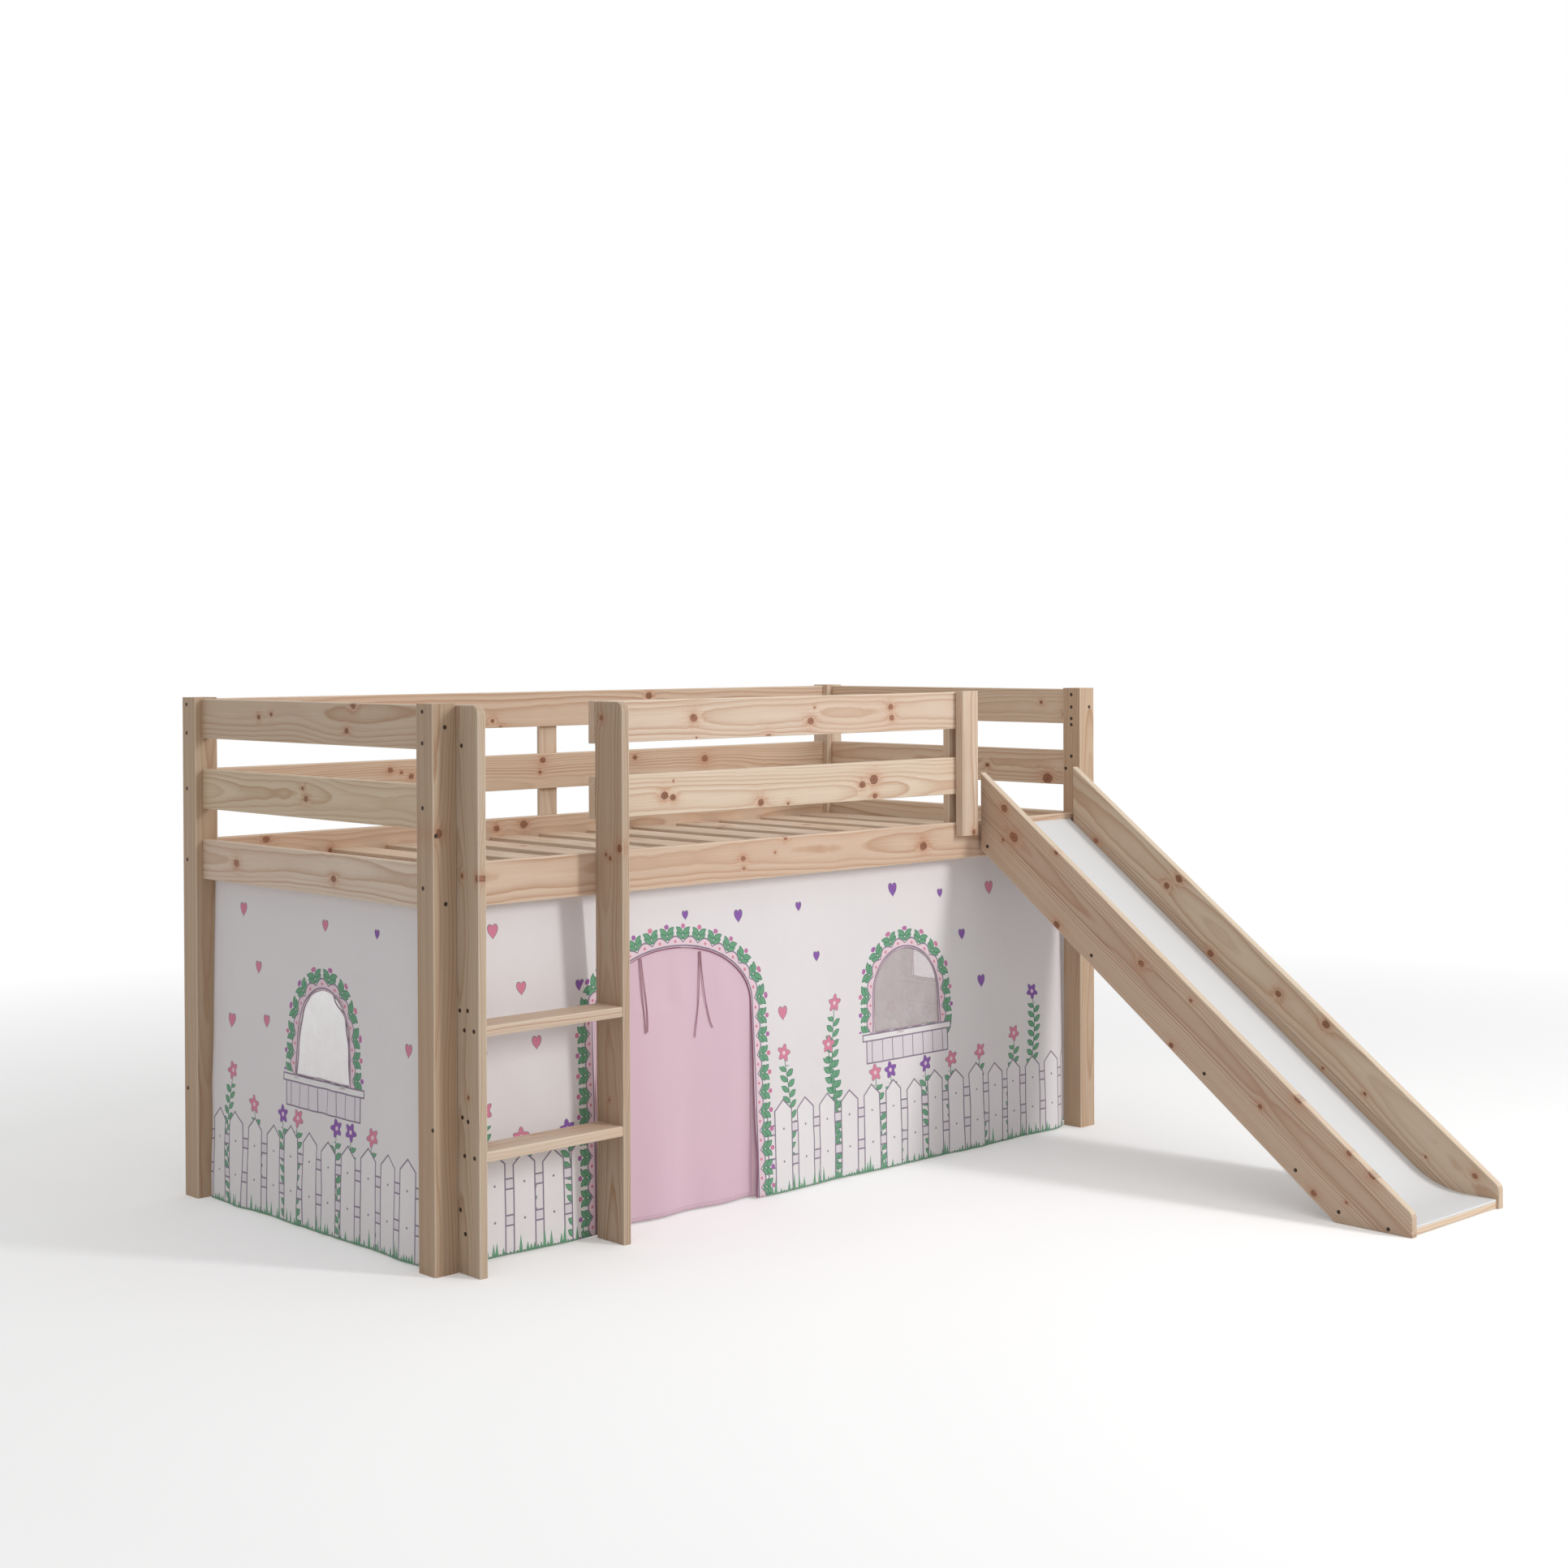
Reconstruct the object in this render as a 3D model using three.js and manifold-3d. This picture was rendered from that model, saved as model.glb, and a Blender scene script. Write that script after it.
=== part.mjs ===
import * as THREE from "three";
import { mergeVertices } from "three/addons/utils/BufferGeometryUtils.js";
import Module from "manifold-3d";

// A low loft bed in solid pine, with a ladder, a slide and hung curtains that make a den below.
// Millimetres. +X runs along the bed to the slide's end, +Y from the ladder side to the back, +Z up.
// The origin is on the floor, in the middle of the whole outline, the slide included.

// Timber
const postWidth = 57;
const boardWidth = 90;
const boardThickness = 20;
const battenThickness = 26;
const edgeRadius = 2.5;
const seam = 0.2;

// Bed frame
const bedLength = 2088;
const bedDepth = 980;
const postHeight = 1140;
const rowGap = 70;
const topDrop = 3;
const backBattenThickness = 12;

// Mattress base
const ledgeDepth = 20;
const ledgeHeight = 25;
const ledgeRadius = 1.5;
const slatCount = 13;
const slatWidth = 90;
const slatThickness = 20;

// Ladder
const ladderWidth = 351;
const stileCornerRadius = 20;
const treadPitch = 250;
const treadCount = 2;
const treadThickness = 22;
const treadSetback = 2;
const treadBackSetback = 8;
const treadRadius = 4;

// Guard rail
const guardBattenRadius = 4;
const guardBattenLap = 32;
const slideEntryGap = 25;

// Slide
const slideReach = 1190;
const slideWidth = 381;
const slidePlankRise = 120;
const slidePlankWidth = 153;
const slidePlankGap = 10.5;
const noseRadius = 20;
const noseCornerHeight = 50.5;
const surfaceThickness = 5;
const surfaceDrop = 14;
const runOutHeight = 21;
const runOutRadius = 220;
const footBarLift = 1;
const footBarSetback = 6;
const crossBarWidth = 45;
const crossBarThickness = 26;
const crossBarShares = [0.043, 0.368, 0.692, 0.933];
const curveBarShare = 0.65;

// Curtains
const clothThickness = 2;
const clothSeat = 0.3;
const paneThickness = 1;
const hemLift = 3;
const curtainTopGap = 1;
const frontHemGap = 9.5;
const frontLeanPower = 1.5;
const endHemGap = 5;
const endLeanPower = 1.1;
const frontEdgeGap = 5;
const slideSideEdgeGap = 19;
const edgeTurnWidth = 58;
const edgeTurnDepth = 18;
const endFrontEdgeGap = 3;
const endBackEdgeGap = 18;
const foldDepth = 6;
const foldPower = 1.2;
const frontFoldShares = [
  { middle: 0.06, width: 0.11, depth: 1 },
  { middle: 0.15, width: 0.08, depth: -0.6 },
  { middle: 0.475, width: 0.09, depth: -0.8 },
  { middle: 0.57, width: 0.1, depth: 1 },
  { middle: 0.81, width: 0.11, depth: -1 },
  { middle: 0.91, width: 0.09, depth: 0.7 },
];
const endFoldShares = [
  { middle: 0.1, width: 0.18, depth: 0.8 },
  { middle: 0.25, width: 0.14, depth: -0.5 },
  { middle: 0.7, width: 0.16, depth: -0.6 },
  { middle: 0.87, width: 0.2, depth: 1 },
];

// Door and windows in the curtains
const doorMiddle = 671.5;
const doorFootWidth = 468;
const doorSpringWidth = 458;
const doorCrownDrop = 138;
const doorArchRise = 140;
const doorLap = 8;
const doorHemLift = 4;
const doorFoldDepth = 5;
const doorFoldCount = 2.5;
const hingeClearance = 1.3;
const flapClearance = 0.5;
const frontWindowMiddle = 1413;
const frontWindowFootWidth = 230;
const frontWindowSpringWidth = 222;
const endWindowMiddle = 450;
const endWindowFootWidth = 204;
const endWindowSpringWidth = 190;
const windowCrownDrop = 206;
const windowArchRise = 109;
const windowSideHeight = 82;
const paneLap = 10;

// Door ties
const tieDiameter = 2.5;
const tieStep = 7;

// Fineness of the round stretches and of the cloth
const roundSteps = 2;
const archSteps = 8;
const curveSteps = 6;
const frontColumns = 36;
const edgeColumns = 4;
const endColumns = 18;
const hangRows = 9;
const doorColumns = 10;
const doorRows = 8;
const headRows = 4;
const paneColumns = 6;
const paneRows = 5;
const tieSides = 4;
const cutOverrun = 40;

// Places that follow from the sizes
const quarterTurn = Math.PI / 2;
const outerX = bedLength / 2;
const bayX = outerX - postWidth;
const frontY = (slideReach - bedDepth) / 2;
const backY = frontY + bedDepth;
const railInset = (postWidth - boardThickness) / 2;
const railFrontY = frontY + railInset;
const railInnerY = railFrontY + boardThickness;
const backRailInnerY = backY - railInset - boardThickness;
const backRailOuterY = backY - railInset;
const endRailInnerX = outerX - railInset - boardThickness;
const endRailOuterX = outerX - railInset;
const rowPitch = boardWidth + rowGap;
const topRow = postHeight - topDrop - boardWidth;
const middleRow = topRow - rowPitch;
const lowRow = middleRow - rowPitch;
const boardTop = topRow + boardWidth;
const railTop = lowRow + boardWidth;
const slatBase = lowRow + ledgeHeight + seam;
const slatTop = slatBase + slatThickness;
const stileBackY = railFrontY - seam;
const stileFrontY = stileBackY - boardWidth;
const leftStileX = -bayX + seam;
const rightStileX = leftStileX + boardThickness + ladderWidth;
const slideLeftX = bayX - seam - slideWidth;
const slideInnerLeftX = slideLeftX + boardThickness;
const slideInnerRightX = slideLeftX + slideWidth - boardThickness;
const guardEndX = slideLeftX - slideEntryGap;
const noseY = frontY - slideReach;
const slideRearY = railFrontY - slidePlankGap;
const slideTop = railTop + slidePlankRise;
const slideSlope = Math.atan((slideTop - noseCornerHeight) / (slideRearY - noseY));
const doorCrown = lowRow - doorCrownDrop;
const doorSpring = doorCrown - doorArchRise;
const windowCrown = lowRow - windowCrownDrop;
const windowSpring = windowCrown - windowArchRise;
const windowSill = windowSpring - windowSideHeight;

const pine = { color: 0xdcc6aa, roughness: 0.62, metalness: 0 };
const laminate = { color: 0xe9e9eb, roughness: 0.3, metalness: 0 };
const printedCotton = { color: 0xe0dadb, roughness: 0.9, metalness: 0 };
const pinkCotton = { color: 0xd5b6c0, roughness: 0.9, metalness: 0 };
const clearSheet = { color: 0xdedbd6, roughness: 0.15, metalness: 0, transparent: true, opacity: 0.4 };
const tieTape = { color: 0xb48a98, roughness: 0.85, metalness: 0 };

const bed = new THREE.Group();
const alongX = new THREE.Vector3(1, 0, 0);
const alongY = new THREE.Vector3(0, 1, 0);
const alongZ = new THREE.Vector3(0, 0, 1);
const grainTurn = {
  x: new THREE.Matrix4().makeBasis(alongY, alongZ, alongX),
  y: new THREE.Matrix4().makeBasis(alongZ, alongX, alongY),
  z: new THREE.Matrix4().makeBasis(alongX, alongY, alongZ),
};

function addPiece(name, finish, geometry, place = [0, 0, 0]) {
  const piece = new THREE.Mesh(geometry, new THREE.MeshStandardMaterial(finish));
  piece.name = name;
  piece.position.set(...place);
  bed.add(piece);
}

function roundedSection(width, height, radius) {
  const section = new THREE.Shape();
  section.absarc(width - radius, height - radius, radius, 0, quarterTurn);
  section.absarc(radius, height - radius, radius, quarterTurn, 2 * quarterTurn);
  section.absarc(radius, radius, radius, 2 * quarterTurn, 3 * quarterTurn);
  section.absarc(width - radius, radius, radius, 3 * quarterTurn, 4 * quarterTurn);
  return section;
}

// A straight stick between its lowest and highest corners, with its long edges rounded.
function addStick(name, grain, low, high, radius = edgeRadius) {
  const lengthAxis = "xyz".indexOf(grain);
  const acrossAxis = (lengthAxis + 1) % 3;
  const upAxis = (lengthAxis + 2) % 3;
  const across = high[acrossAxis] - low[acrossAxis];
  const up = high[upAxis] - low[upAxis];
  const geometry = new THREE.ExtrudeGeometry(roundedSection(across, up, radius), {
    depth: high[lengthAxis] - low[lengthAxis],
    bevelEnabled: false,
    curveSegments: roundSteps,
  });
  geometry.applyMatrix4(grainTurn[grain]);
  addPiece(name, pine, geometry, low);
}

// A plate sawn to an outline drawn in Y and Z, with all its edges rounded.
function addPlate(name, outline, lowX) {
  const geometry = new THREE.ExtrudeGeometry(outline, {
    depth: boardThickness - 2 * edgeRadius,
    bevelThickness: edgeRadius,
    bevelSize: edgeRadius,
    bevelOffset: -edgeRadius,
    bevelSegments: roundSteps,
    curveSegments: curveSteps,
  });
  geometry.translate(0, 0, edgeRadius);
  geometry.applyMatrix4(grainTurn.x);
  addPiece(name, pine, geometry, [lowX, 0, 0]);
}

// Posts, with the end and back boards between them
for (const [side, lowX] of [["left", -outerX], ["right", bayX]]) {
  for (const [face, lowY] of [["front", frontY], ["back", backY - postWidth]]) {
    const high = [lowX + postWidth, lowY + postWidth, postHeight];
    addStick(`${face}_${side}_post`, "z", [lowX, lowY, 0], high);
  }
}

const rows = [["lower", lowRow], ["middle", middleRow], ["upper", topRow]];
for (const [row, base] of rows) {
  for (const [side, lowX] of [["left", -endRailOuterX], ["right", endRailInnerX]]) {
    const low = [lowX, frontY + postWidth + seam, base];
    const high = [lowX + boardThickness, backY - postWidth - seam, base + boardWidth];
    addStick(`${row}_${side}_end_board`, "y", low, high);
  }
  const low = [-bayX + seam, backRailInnerY, base];
  const high = [bayX - seam, backRailOuterY, base + boardWidth];
  addStick(`${row}_back_board`, "x", low, high);
}

addStick(
  "back_batten",
  "z",
  [-postWidth / 2, backRailOuterY + seam, lowRow],
  [postWidth / 2, backRailOuterY + seam + backBattenThickness, boardTop],
);

// Front side board, and the guard boards between their two upright battens
addStick(
  "front_side_board",
  "x",
  [-bayX + seam, railFrontY, lowRow],
  [bayX - seam, railInnerY, railTop],
);

for (const [row, base] of rows.slice(1)) {
  const low = [rightStileX, railFrontY, base];
  const high = [guardEndX, railInnerY, base + boardWidth];
  addStick(`${row}_guard_board`, "x", low, high);
}

addStick(
  "guard_outer_batten",
  "z",
  [guardEndX - postWidth, railFrontY - seam - battenThickness, railTop - guardBattenLap],
  [guardEndX, railFrontY - seam, postHeight],
  guardBattenRadius,
);
addStick(
  "guard_inner_batten",
  "z",
  [guardEndX - postWidth, railInnerY + seam, slatTop + seam],
  [guardEndX, railInnerY + seam + boardThickness, boardTop],
);

// Mattress base: slats laid on two ledges
for (const [side, lowY] of [
  ["front", railInnerY + seam],
  ["back", backRailInnerY - seam - ledgeDepth],
]) {
  const low = [-bayX + seam, lowY, lowRow];
  const high = [bayX - seam, lowY + ledgeDepth, lowRow + ledgeHeight];
  addStick(`${side}_slat_ledge`, "x", low, high, ledgeRadius);
}

const slatPitch = (2 * bayX - 2 * seam - slatWidth) / (slatCount - 1);
for (let slat = 0; slat < slatCount; slat += 1) {
  const lowX = -bayX + seam + slat * slatPitch;
  const low = [lowX, railInnerY + seam, slatBase];
  const high = [lowX + slatWidth, backRailInnerY - seam, slatTop];
  addStick(`slat_${slat + 1}`, "y", low, high);
}

// Ladder: two stiles screwed to the side board, with treads let in between them
function stileOutline() {
  const outline = new THREE.Shape();
  outline.moveTo(stileFrontY, 0);
  outline.lineTo(stileBackY, 0);
  outline.lineTo(stileBackY, boardTop);
  outline.lineTo(stileFrontY + stileCornerRadius, boardTop);
  outline.absarc(
    stileFrontY + stileCornerRadius,
    boardTop - stileCornerRadius,
    stileCornerRadius,
    quarterTurn,
    2 * quarterTurn,
  );
  outline.closePath();
  return outline;
}

addPlate("left_ladder_stile", stileOutline(), leftStileX);
addPlate("right_ladder_stile", stileOutline(), rightStileX);

for (let tread = 1; tread <= treadCount; tread += 1) {
  const top = tread * treadPitch;
  addStick(
    `ladder_tread_${tread}`,
    "x",
    [leftStileX + boardThickness + seam, stileFrontY + treadSetback, top - treadThickness],
    [rightStileX - seam, stileBackY - treadBackSetback, top],
    treadRadius,
  );
}

// Slide: two planks with a bent sheet between them, carried on cross bars
const slope = Math.tan(slideSlope);
const run = Math.cos(slideSlope);

function slidePlankOutline() {
  const plankDepth = slidePlankWidth / run;
  const heelY = slideRearY - (slideTop - plankDepth) / slope;
  const arcHeight = noseCornerHeight + noseRadius * slope - noseRadius / run;
  const outline = new THREE.Shape();
  outline.moveTo(noseY, 0);
  outline.lineTo(heelY, 0);
  outline.lineTo(slideRearY, slideTop - plankDepth);
  outline.lineTo(slideRearY, slideTop);
  outline.absarc(
    noseY + noseRadius,
    arcHeight,
    noseRadius,
    quarterTurn + slideSlope,
    2 * quarterTurn,
  );
  outline.closePath();
  return outline;
}

addPlate("left_slide_plank", slidePlankOutline(), slideLeftX);
addPlate("right_slide_plank", slidePlankOutline(), slideInnerRightX);

const surfaceStartY = railFrontY - seam;
const surfaceStart = railTop - surfaceDrop;
const surfaceEndY = noseY + footBarSetback;
const bendY = surfaceStartY - (surfaceStart - runOutHeight) / slope;
const bendTangent = runOutRadius * Math.tan(slideSlope / 2);
const bendCentreY = bendY - bendTangent;
const bendCentre = runOutHeight + runOutRadius;

// Across the slide between its planks, from an outline in Y and Z
function addAcrossSlide(name, finish, outline) {
  const geometry = new THREE.ExtrudeGeometry(outline, {
    depth: slideInnerRightX - slideInnerLeftX - 2 * seam,
    bevelEnabled: false,
    curveSegments: curveSteps,
  });
  geometry.applyMatrix4(grainTurn.x);
  addPiece(name, finish, geometry, [slideInnerLeftX + seam, 0, 0]);
}

const underside = runOutRadius + surfaceThickness;
const surface = new THREE.Shape();
surface.moveTo(surfaceEndY, runOutHeight - surfaceThickness);
surface.absarc(bendCentreY, bendCentre, underside, -quarterTurn, slideSlope - quarterTurn);
surface.lineTo(surfaceStartY, surfaceStart - surfaceThickness / run);
surface.lineTo(surfaceStartY, surfaceStart);
surface.absarc(bendCentreY, bendCentre, runOutRadius, slideSlope - quarterTurn, -quarterTurn, true);
surface.lineTo(surfaceEndY, runOutHeight);
surface.closePath();
addAcrossSlide("slide_surface", laminate, surface);

// A bar under the surface, square to it where it touches
function addCrossBar(name, touchY, touchHeight, tilt) {
  const alongBar = new THREE.Vector2(Math.cos(tilt), Math.sin(tilt)).multiplyScalar(crossBarWidth / 2);
  const below = new THREE.Vector2(Math.sin(tilt), -Math.cos(tilt));
  const touch = new THREE.Vector2(touchY, touchHeight);
  const top = touch.addScaledVector(below, surfaceThickness + seam);
  const foot = top.clone().addScaledVector(below, crossBarThickness);
  const corners = [
    foot.clone().sub(alongBar),
    foot.clone().add(alongBar),
    top.clone().add(alongBar),
    top.clone().sub(alongBar),
  ];
  addAcrossSlide(name, pine, new THREE.Shape(corners));
}

const inclineRun = surfaceStartY - (bendY + bendTangent * run);
crossBarShares.forEach((share, bar) => {
  const back = share * inclineRun;
  addCrossBar(`slide_cross_bar_${bar + 1}`, surfaceStartY - back, surfaceStart - slope * back, slideSlope);
});

const curveTilt = curveBarShare * slideSlope;
addCrossBar(
  `slide_cross_bar_${crossBarShares.length + 1}`,
  bendCentreY + runOutRadius * Math.sin(curveTilt),
  bendCentre - runOutRadius * Math.cos(curveTilt),
  curveTilt,
);
addStick(
  "slide_foot_bar",
  "x",
  [slideInnerLeftX + seam, surfaceEndY, footBarLift],
  [slideInnerRightX - seam, surfaceEndY + boardWidth, runOutHeight - surfaceThickness - seam],
);

// Curtains: hung from the ledge and the end boards, leaning out to the hem
const wasm = await Module();
wasm.setup();

function asSolid(geometry) {
  const bare = geometry.clone();
  bare.deleteAttribute("normal");
  bare.deleteAttribute("uv");
  const merged = mergeVertices(bare);
  return new wasm.Manifold(
    new wasm.Mesh({
      numProp: 3,
      vertProperties: new Float32Array(merged.attributes.position.array),
      triVerts: new Uint32Array(merged.index.array),
    }),
  );
}

function asGeometry(solid) {
  const mesh = solid.getMesh();
  const geometry = new THREE.BufferGeometry();
  geometry.setAttribute("position", new THREE.BufferAttribute(mesh.vertProperties, 3));
  geometry.setIndex(new THREE.BufferAttribute(mesh.triVerts, 1));
  return geometry;
}

function spread(low, high, steps) {
  return Array.from({ length: steps + 1 }, (_, step) => low + ((high - low) * step) / steps);
}

// A sheet on a grid of widths and heights, thickened both ways from its middle and closed at its rim.
// Its depth runs along Y where it faces the front, and along X where it faces an end.
function clothSheet(widths, heights, depthAt, facesFront, thickness) {
  const facing = facesFront ? -1 : 1;
  const positions = [];
  for (const side of [facing, -facing]) {
    for (const height of heights) {
      for (const width of widths) {
        const depth = depthAt(width, height) + (side * thickness) / 2;
        positions.push(...(facesFront ? [width, depth, height] : [depth, width, height]));
      }
    }
  }
  const columns = widths.length;
  const reverse = columns * heights.length;
  const index = [];
  const closeRim = (from, to) => {
    index.push(to, from, from + reverse, to, from + reverse, to + reverse);
  };
  for (let row = 0; row < heights.length - 1; row += 1) {
    for (let column = 0; column < columns - 1; column += 1) {
      const a = row * columns + column;
      const b = a + 1;
      const c = b + columns;
      const d = a + columns;
      index.push(a, b, c, a, c, d);
      index.push(a + reverse, c + reverse, b + reverse, a + reverse, d + reverse, c + reverse);
    }
    closeRim((row + 1) * columns, row * columns);
    closeRim((row + 1) * columns - 1, (row + 2) * columns - 1);
  }
  const topRowStart = (heights.length - 1) * columns;
  for (let column = 0; column < columns - 1; column += 1) {
    closeRim(column, column + 1);
    closeRim(topRowStart + column + 1, topRowStart + column);
  }
  const geometry = new THREE.BufferGeometry();
  geometry.setAttribute("position", new THREE.Float32BufferAttribute(positions, 3));
  geometry.setIndex(index);
  return geometry;
}

// An arched opening: straight sides that taper to the springing line, then half an ellipse.
function archPrism(arch, lap, base, facesFront, low, high) {
  const outline = new THREE.Shape();
  const footHalf = arch.footWidth / 2 + lap;
  const springHalf = arch.springWidth / 2 + lap;
  outline.moveTo(arch.middle - footHalf, base);
  outline.lineTo(arch.middle + footHalf, base);
  outline.lineTo(arch.middle + springHalf, arch.spring);
  outline.absellipse(
    arch.middle,
    arch.spring,
    springHalf,
    arch.crown + lap - arch.spring,
    0,
    2 * quarterTurn,
  );
  outline.closePath();
  const geometry = new THREE.ExtrudeGeometry(outline, {
    depth: high - low + 2 * cutOverrun,
    bevelEnabled: false,
    curveSegments: archSteps,
  });
  if (facesFront) {
    geometry.applyMatrix4(new THREE.Matrix4().makeBasis(alongX, alongZ, alongY.clone().negate()));
    geometry.translate(0, high + cutOverrun, 0);
  } else {
    geometry.applyMatrix4(grainTurn.x);
    geometry.translate(low - cutOverrun, 0, 0);
  }
  return asSolid(geometry);
}

// Soft folds: a table of waves, deepest at the hem and gone at the top.
function foldAt(table, share, height) {
  const fade = Math.max(1 - height / lowRow, 0) ** foldPower;
  let wave = 0;
  for (const fold of table) {
    const offset = (share - fold.middle) / fold.width;
    if (Math.abs(offset) < 1 / 2) {
      wave += fold.depth * Math.cos(Math.PI * offset) ** 2;
    }
  }
  return wave * foldDepth * fade;
}

function leanAt(height, power) {
  return Math.min(Math.max(height, 0) / lowRow, 1) ** power;
}

const curtainTop = slatBase - seam - curtainTopGap;
const hangHeights = [...spread(hemLift, lowRow, hangRows), curtainTop];

const frontTopY = railInnerY + seam + ledgeDepth + clothSeat + clothThickness / 2;
const frontHemY = railFrontY + frontHemGap;
const curtainLeftX = -bayX + frontEdgeGap;
const curtainRightX = bayX - slideSideEdgeGap;
const edgeTurnX = curtainRightX - edgeTurnWidth;

function frontClothY(x, height) {
  const lean = (frontTopY - frontHemY) * leanAt(height, frontLeanPower);
  const share = (x - curtainLeftX) / (curtainRightX - curtainLeftX);
  const past = Math.max((x - edgeTurnX) / edgeTurnWidth, 0);
  const turn = edgeTurnDepth * past ** 2 * (1 - leanAt(height, frontLeanPower));
  return frontHemY + lean + turn + foldAt(frontFoldShares, share, height);
}

const door = {
  middle: doorMiddle - outerX,
  footWidth: doorFootWidth,
  springWidth: doorSpringWidth,
  spring: doorSpring,
  crown: doorCrown,
};
const frontWindow = {
  middle: frontWindowMiddle - outerX,
  footWidth: frontWindowFootWidth,
  springWidth: frontWindowSpringWidth,
  spring: windowSpring,
  crown: windowCrown,
};
const endWindow = {
  middle: frontY + endWindowMiddle,
  footWidth: endWindowFootWidth,
  springWidth: endWindowSpringWidth,
  spring: windowSpring,
  crown: windowCrown,
};

const frontWidths = [
  ...spread(curtainLeftX, edgeTurnX, frontColumns),
  ...spread(edgeTurnX, curtainRightX, edgeColumns).slice(1),
];
const frontCloth = asSolid(clothSheet(frontWidths, hangHeights, frontClothY, true, clothThickness));
const doorway = archPrism(door, 0, -cutOverrun, true, frontHemY, frontTopY);
const frontLight = archPrism(frontWindow, 0, windowSill, true, frontHemY, frontTopY);
addPiece("front_curtain", printedCotton, asGeometry(frontCloth.subtract(doorway).subtract(frontLight)));

// A clear pane sewn behind a window, lapping the cloth all round
function addPane(name, window, depthAt, facesFront, low, high) {
  const half = window.footWidth / 2 + paneLap;
  const widths = spread(window.middle - half, window.middle + half, paneColumns);
  const heights = spread(windowSill - paneLap, windowCrown + paneLap, paneRows);
  const sheet = asSolid(clothSheet(widths, heights, depthAt, facesFront, paneThickness));
  const outline = archPrism(window, paneLap, windowSill - paneLap, facesFront, low, high);
  addPiece(name, clearSheet, asGeometry(sheet.intersect(outline)));
}

const paneStandoff = (clothThickness + paneThickness) / 2 + clothSeat;
addPane(
  "front_window_pane",
  frontWindow,
  (x, height) => frontClothY(x, height) + paneStandoff,
  true,
  frontHemY,
  frontTopY,
);

// Door: the arched head is sewn behind the opening, and the flap below it hangs free
const doorStandoff = clothThickness + clothSeat;
const hingeY = frontClothY(door.middle, doorSpring) + doorStandoff;
const doorHalf = doorSpringWidth / 2 + doorLap;
const doorWidths = spread(door.middle - doorHalf, door.middle + doorHalf, doorColumns);

const headSheet = clothSheet(
  doorWidths,
  spread(doorSpring + hingeClearance, doorCrown + doorLap, headRows),
  (x, height) => frontClothY(x, height) + doorStandoff,
  true,
  clothThickness,
);
const headOutline = archPrism(door, doorLap, 0, true, frontHemY, frontTopY);
addPiece("door_head", pinkCotton, asGeometry(asSolid(headSheet).intersect(headOutline)));

function flapY(x, height) {
  const share = (x - door.middle) / doorHalf;
  const hang = 1 - height / doorSpring;
  return hingeY + doorFoldDepth * hang * Math.sin(doorFoldCount * Math.PI * share);
}

const flapHeights = spread(doorHemLift, doorSpring - flapClearance, doorRows);
addPiece("door_flap", pinkCotton, clothSheet(doorWidths, flapHeights, flapY, true, clothThickness));

// End curtains: one pattern cut for both ends. Hung at the right end it is turned about, so that its
// window lies as far from the front edge as it does from the back edge at the left end.
const endTopX = endRailInnerX - clothSeat - clothThickness / 2;
const endHemX = endRailOuterX - endHemGap;
const endFrontY = frontY + postWidth + endFrontEdgeGap;
const endBackY = backY - postWidth - endBackEdgeGap;

function endClothX(y, height) {
  const lean = (endHemX - endTopX) * (1 - leanAt(height, endLeanPower));
  const share = (y - endFrontY) / (endBackY - endFrontY);
  return endTopX + lean + foldAt(endFoldShares, share, height);
}

const endWidths = spread(endFrontY, endBackY, endColumns);
const turnedWindow = { ...endWindow, middle: endFrontY + endBackY - endWindow.middle };
for (const [side, sign, window] of [["left", -1, endWindow], ["right", 1, turnedWindow]]) {
  const depthAt = (y, height) => sign * endClothX(y, height);
  const reach = [sign * endTopX, sign * endHemX];
  const low = Math.min(...reach);
  const high = Math.max(...reach);
  const cloth = asSolid(clothSheet(endWidths, hangHeights, depthAt, false, clothThickness));
  const light = archPrism(window, 0, windowSill, false, low, high);
  addPiece(`${side}_end_curtain`, printedCotton, asGeometry(cloth.subtract(light)));
  addPane(
    `${side}_window_pane`,
    window,
    (y, height) => sign * (endClothX(y, height) - paneStandoff),
    false,
    low,
    high,
  );
}

// Door ties: four strands sewn in pairs at the arch, hanging over the rolled-down door
const tieRoutes = {
  left_tie_front: [
    [-467, 154.8, 574], [-466.5, 152.9, 545], [-465, 150.9, 513], [-463, 149.1, 482],
    [-460, 147.9, 453], [-457.5, 147.6, 432], [-456.5, 147.6, 411],
  ],
  left_tie_back: [
    [-463, 154.8, 574], [-460.5, 152.9, 545], [-457, 150.9, 513], [-453.5, 149.1, 482],
    [-451.5, 147.9, 453], [-450.5, 147.6, 432], [-451, 147.6, 413],
  ],
  right_tie_front: [
    [-294, 154.8, 574], [-295.5, 152.6, 540], [-298.5, 150.1, 500], [-302.5, 148.2, 460],
    [-307, 147.6, 430], [-311, 147.6, 405], [-313.5, 147.6, 386],
  ],
  right_tie_back: [
    [-290, 154.8, 574], [-289, 152.9, 545], [-286.5, 150.7, 510], [-282, 148.9, 475],
    [-276, 147.8, 445], [-269, 147.6, 420], [-260.5, 147.6, 402],
  ],
};

for (const [name, route] of Object.entries(tieRoutes)) {
  const points = route.map((point) => new THREE.Vector3(...point));
  const path = new THREE.CatmullRomCurve3(points);
  const section = new THREE.Shape().absarc(0, 0, tieDiameter / 2, 0, 4 * quarterTurn);
  const geometry = new THREE.ExtrudeGeometry(section, {
    extrudePath: path,
    steps: Math.round(path.getLength() / tieStep),
    bevelEnabled: false,
    curveSegments: tieSides,
  });
  addPiece(name, tieTape, geometry);
}

export default bed;
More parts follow.
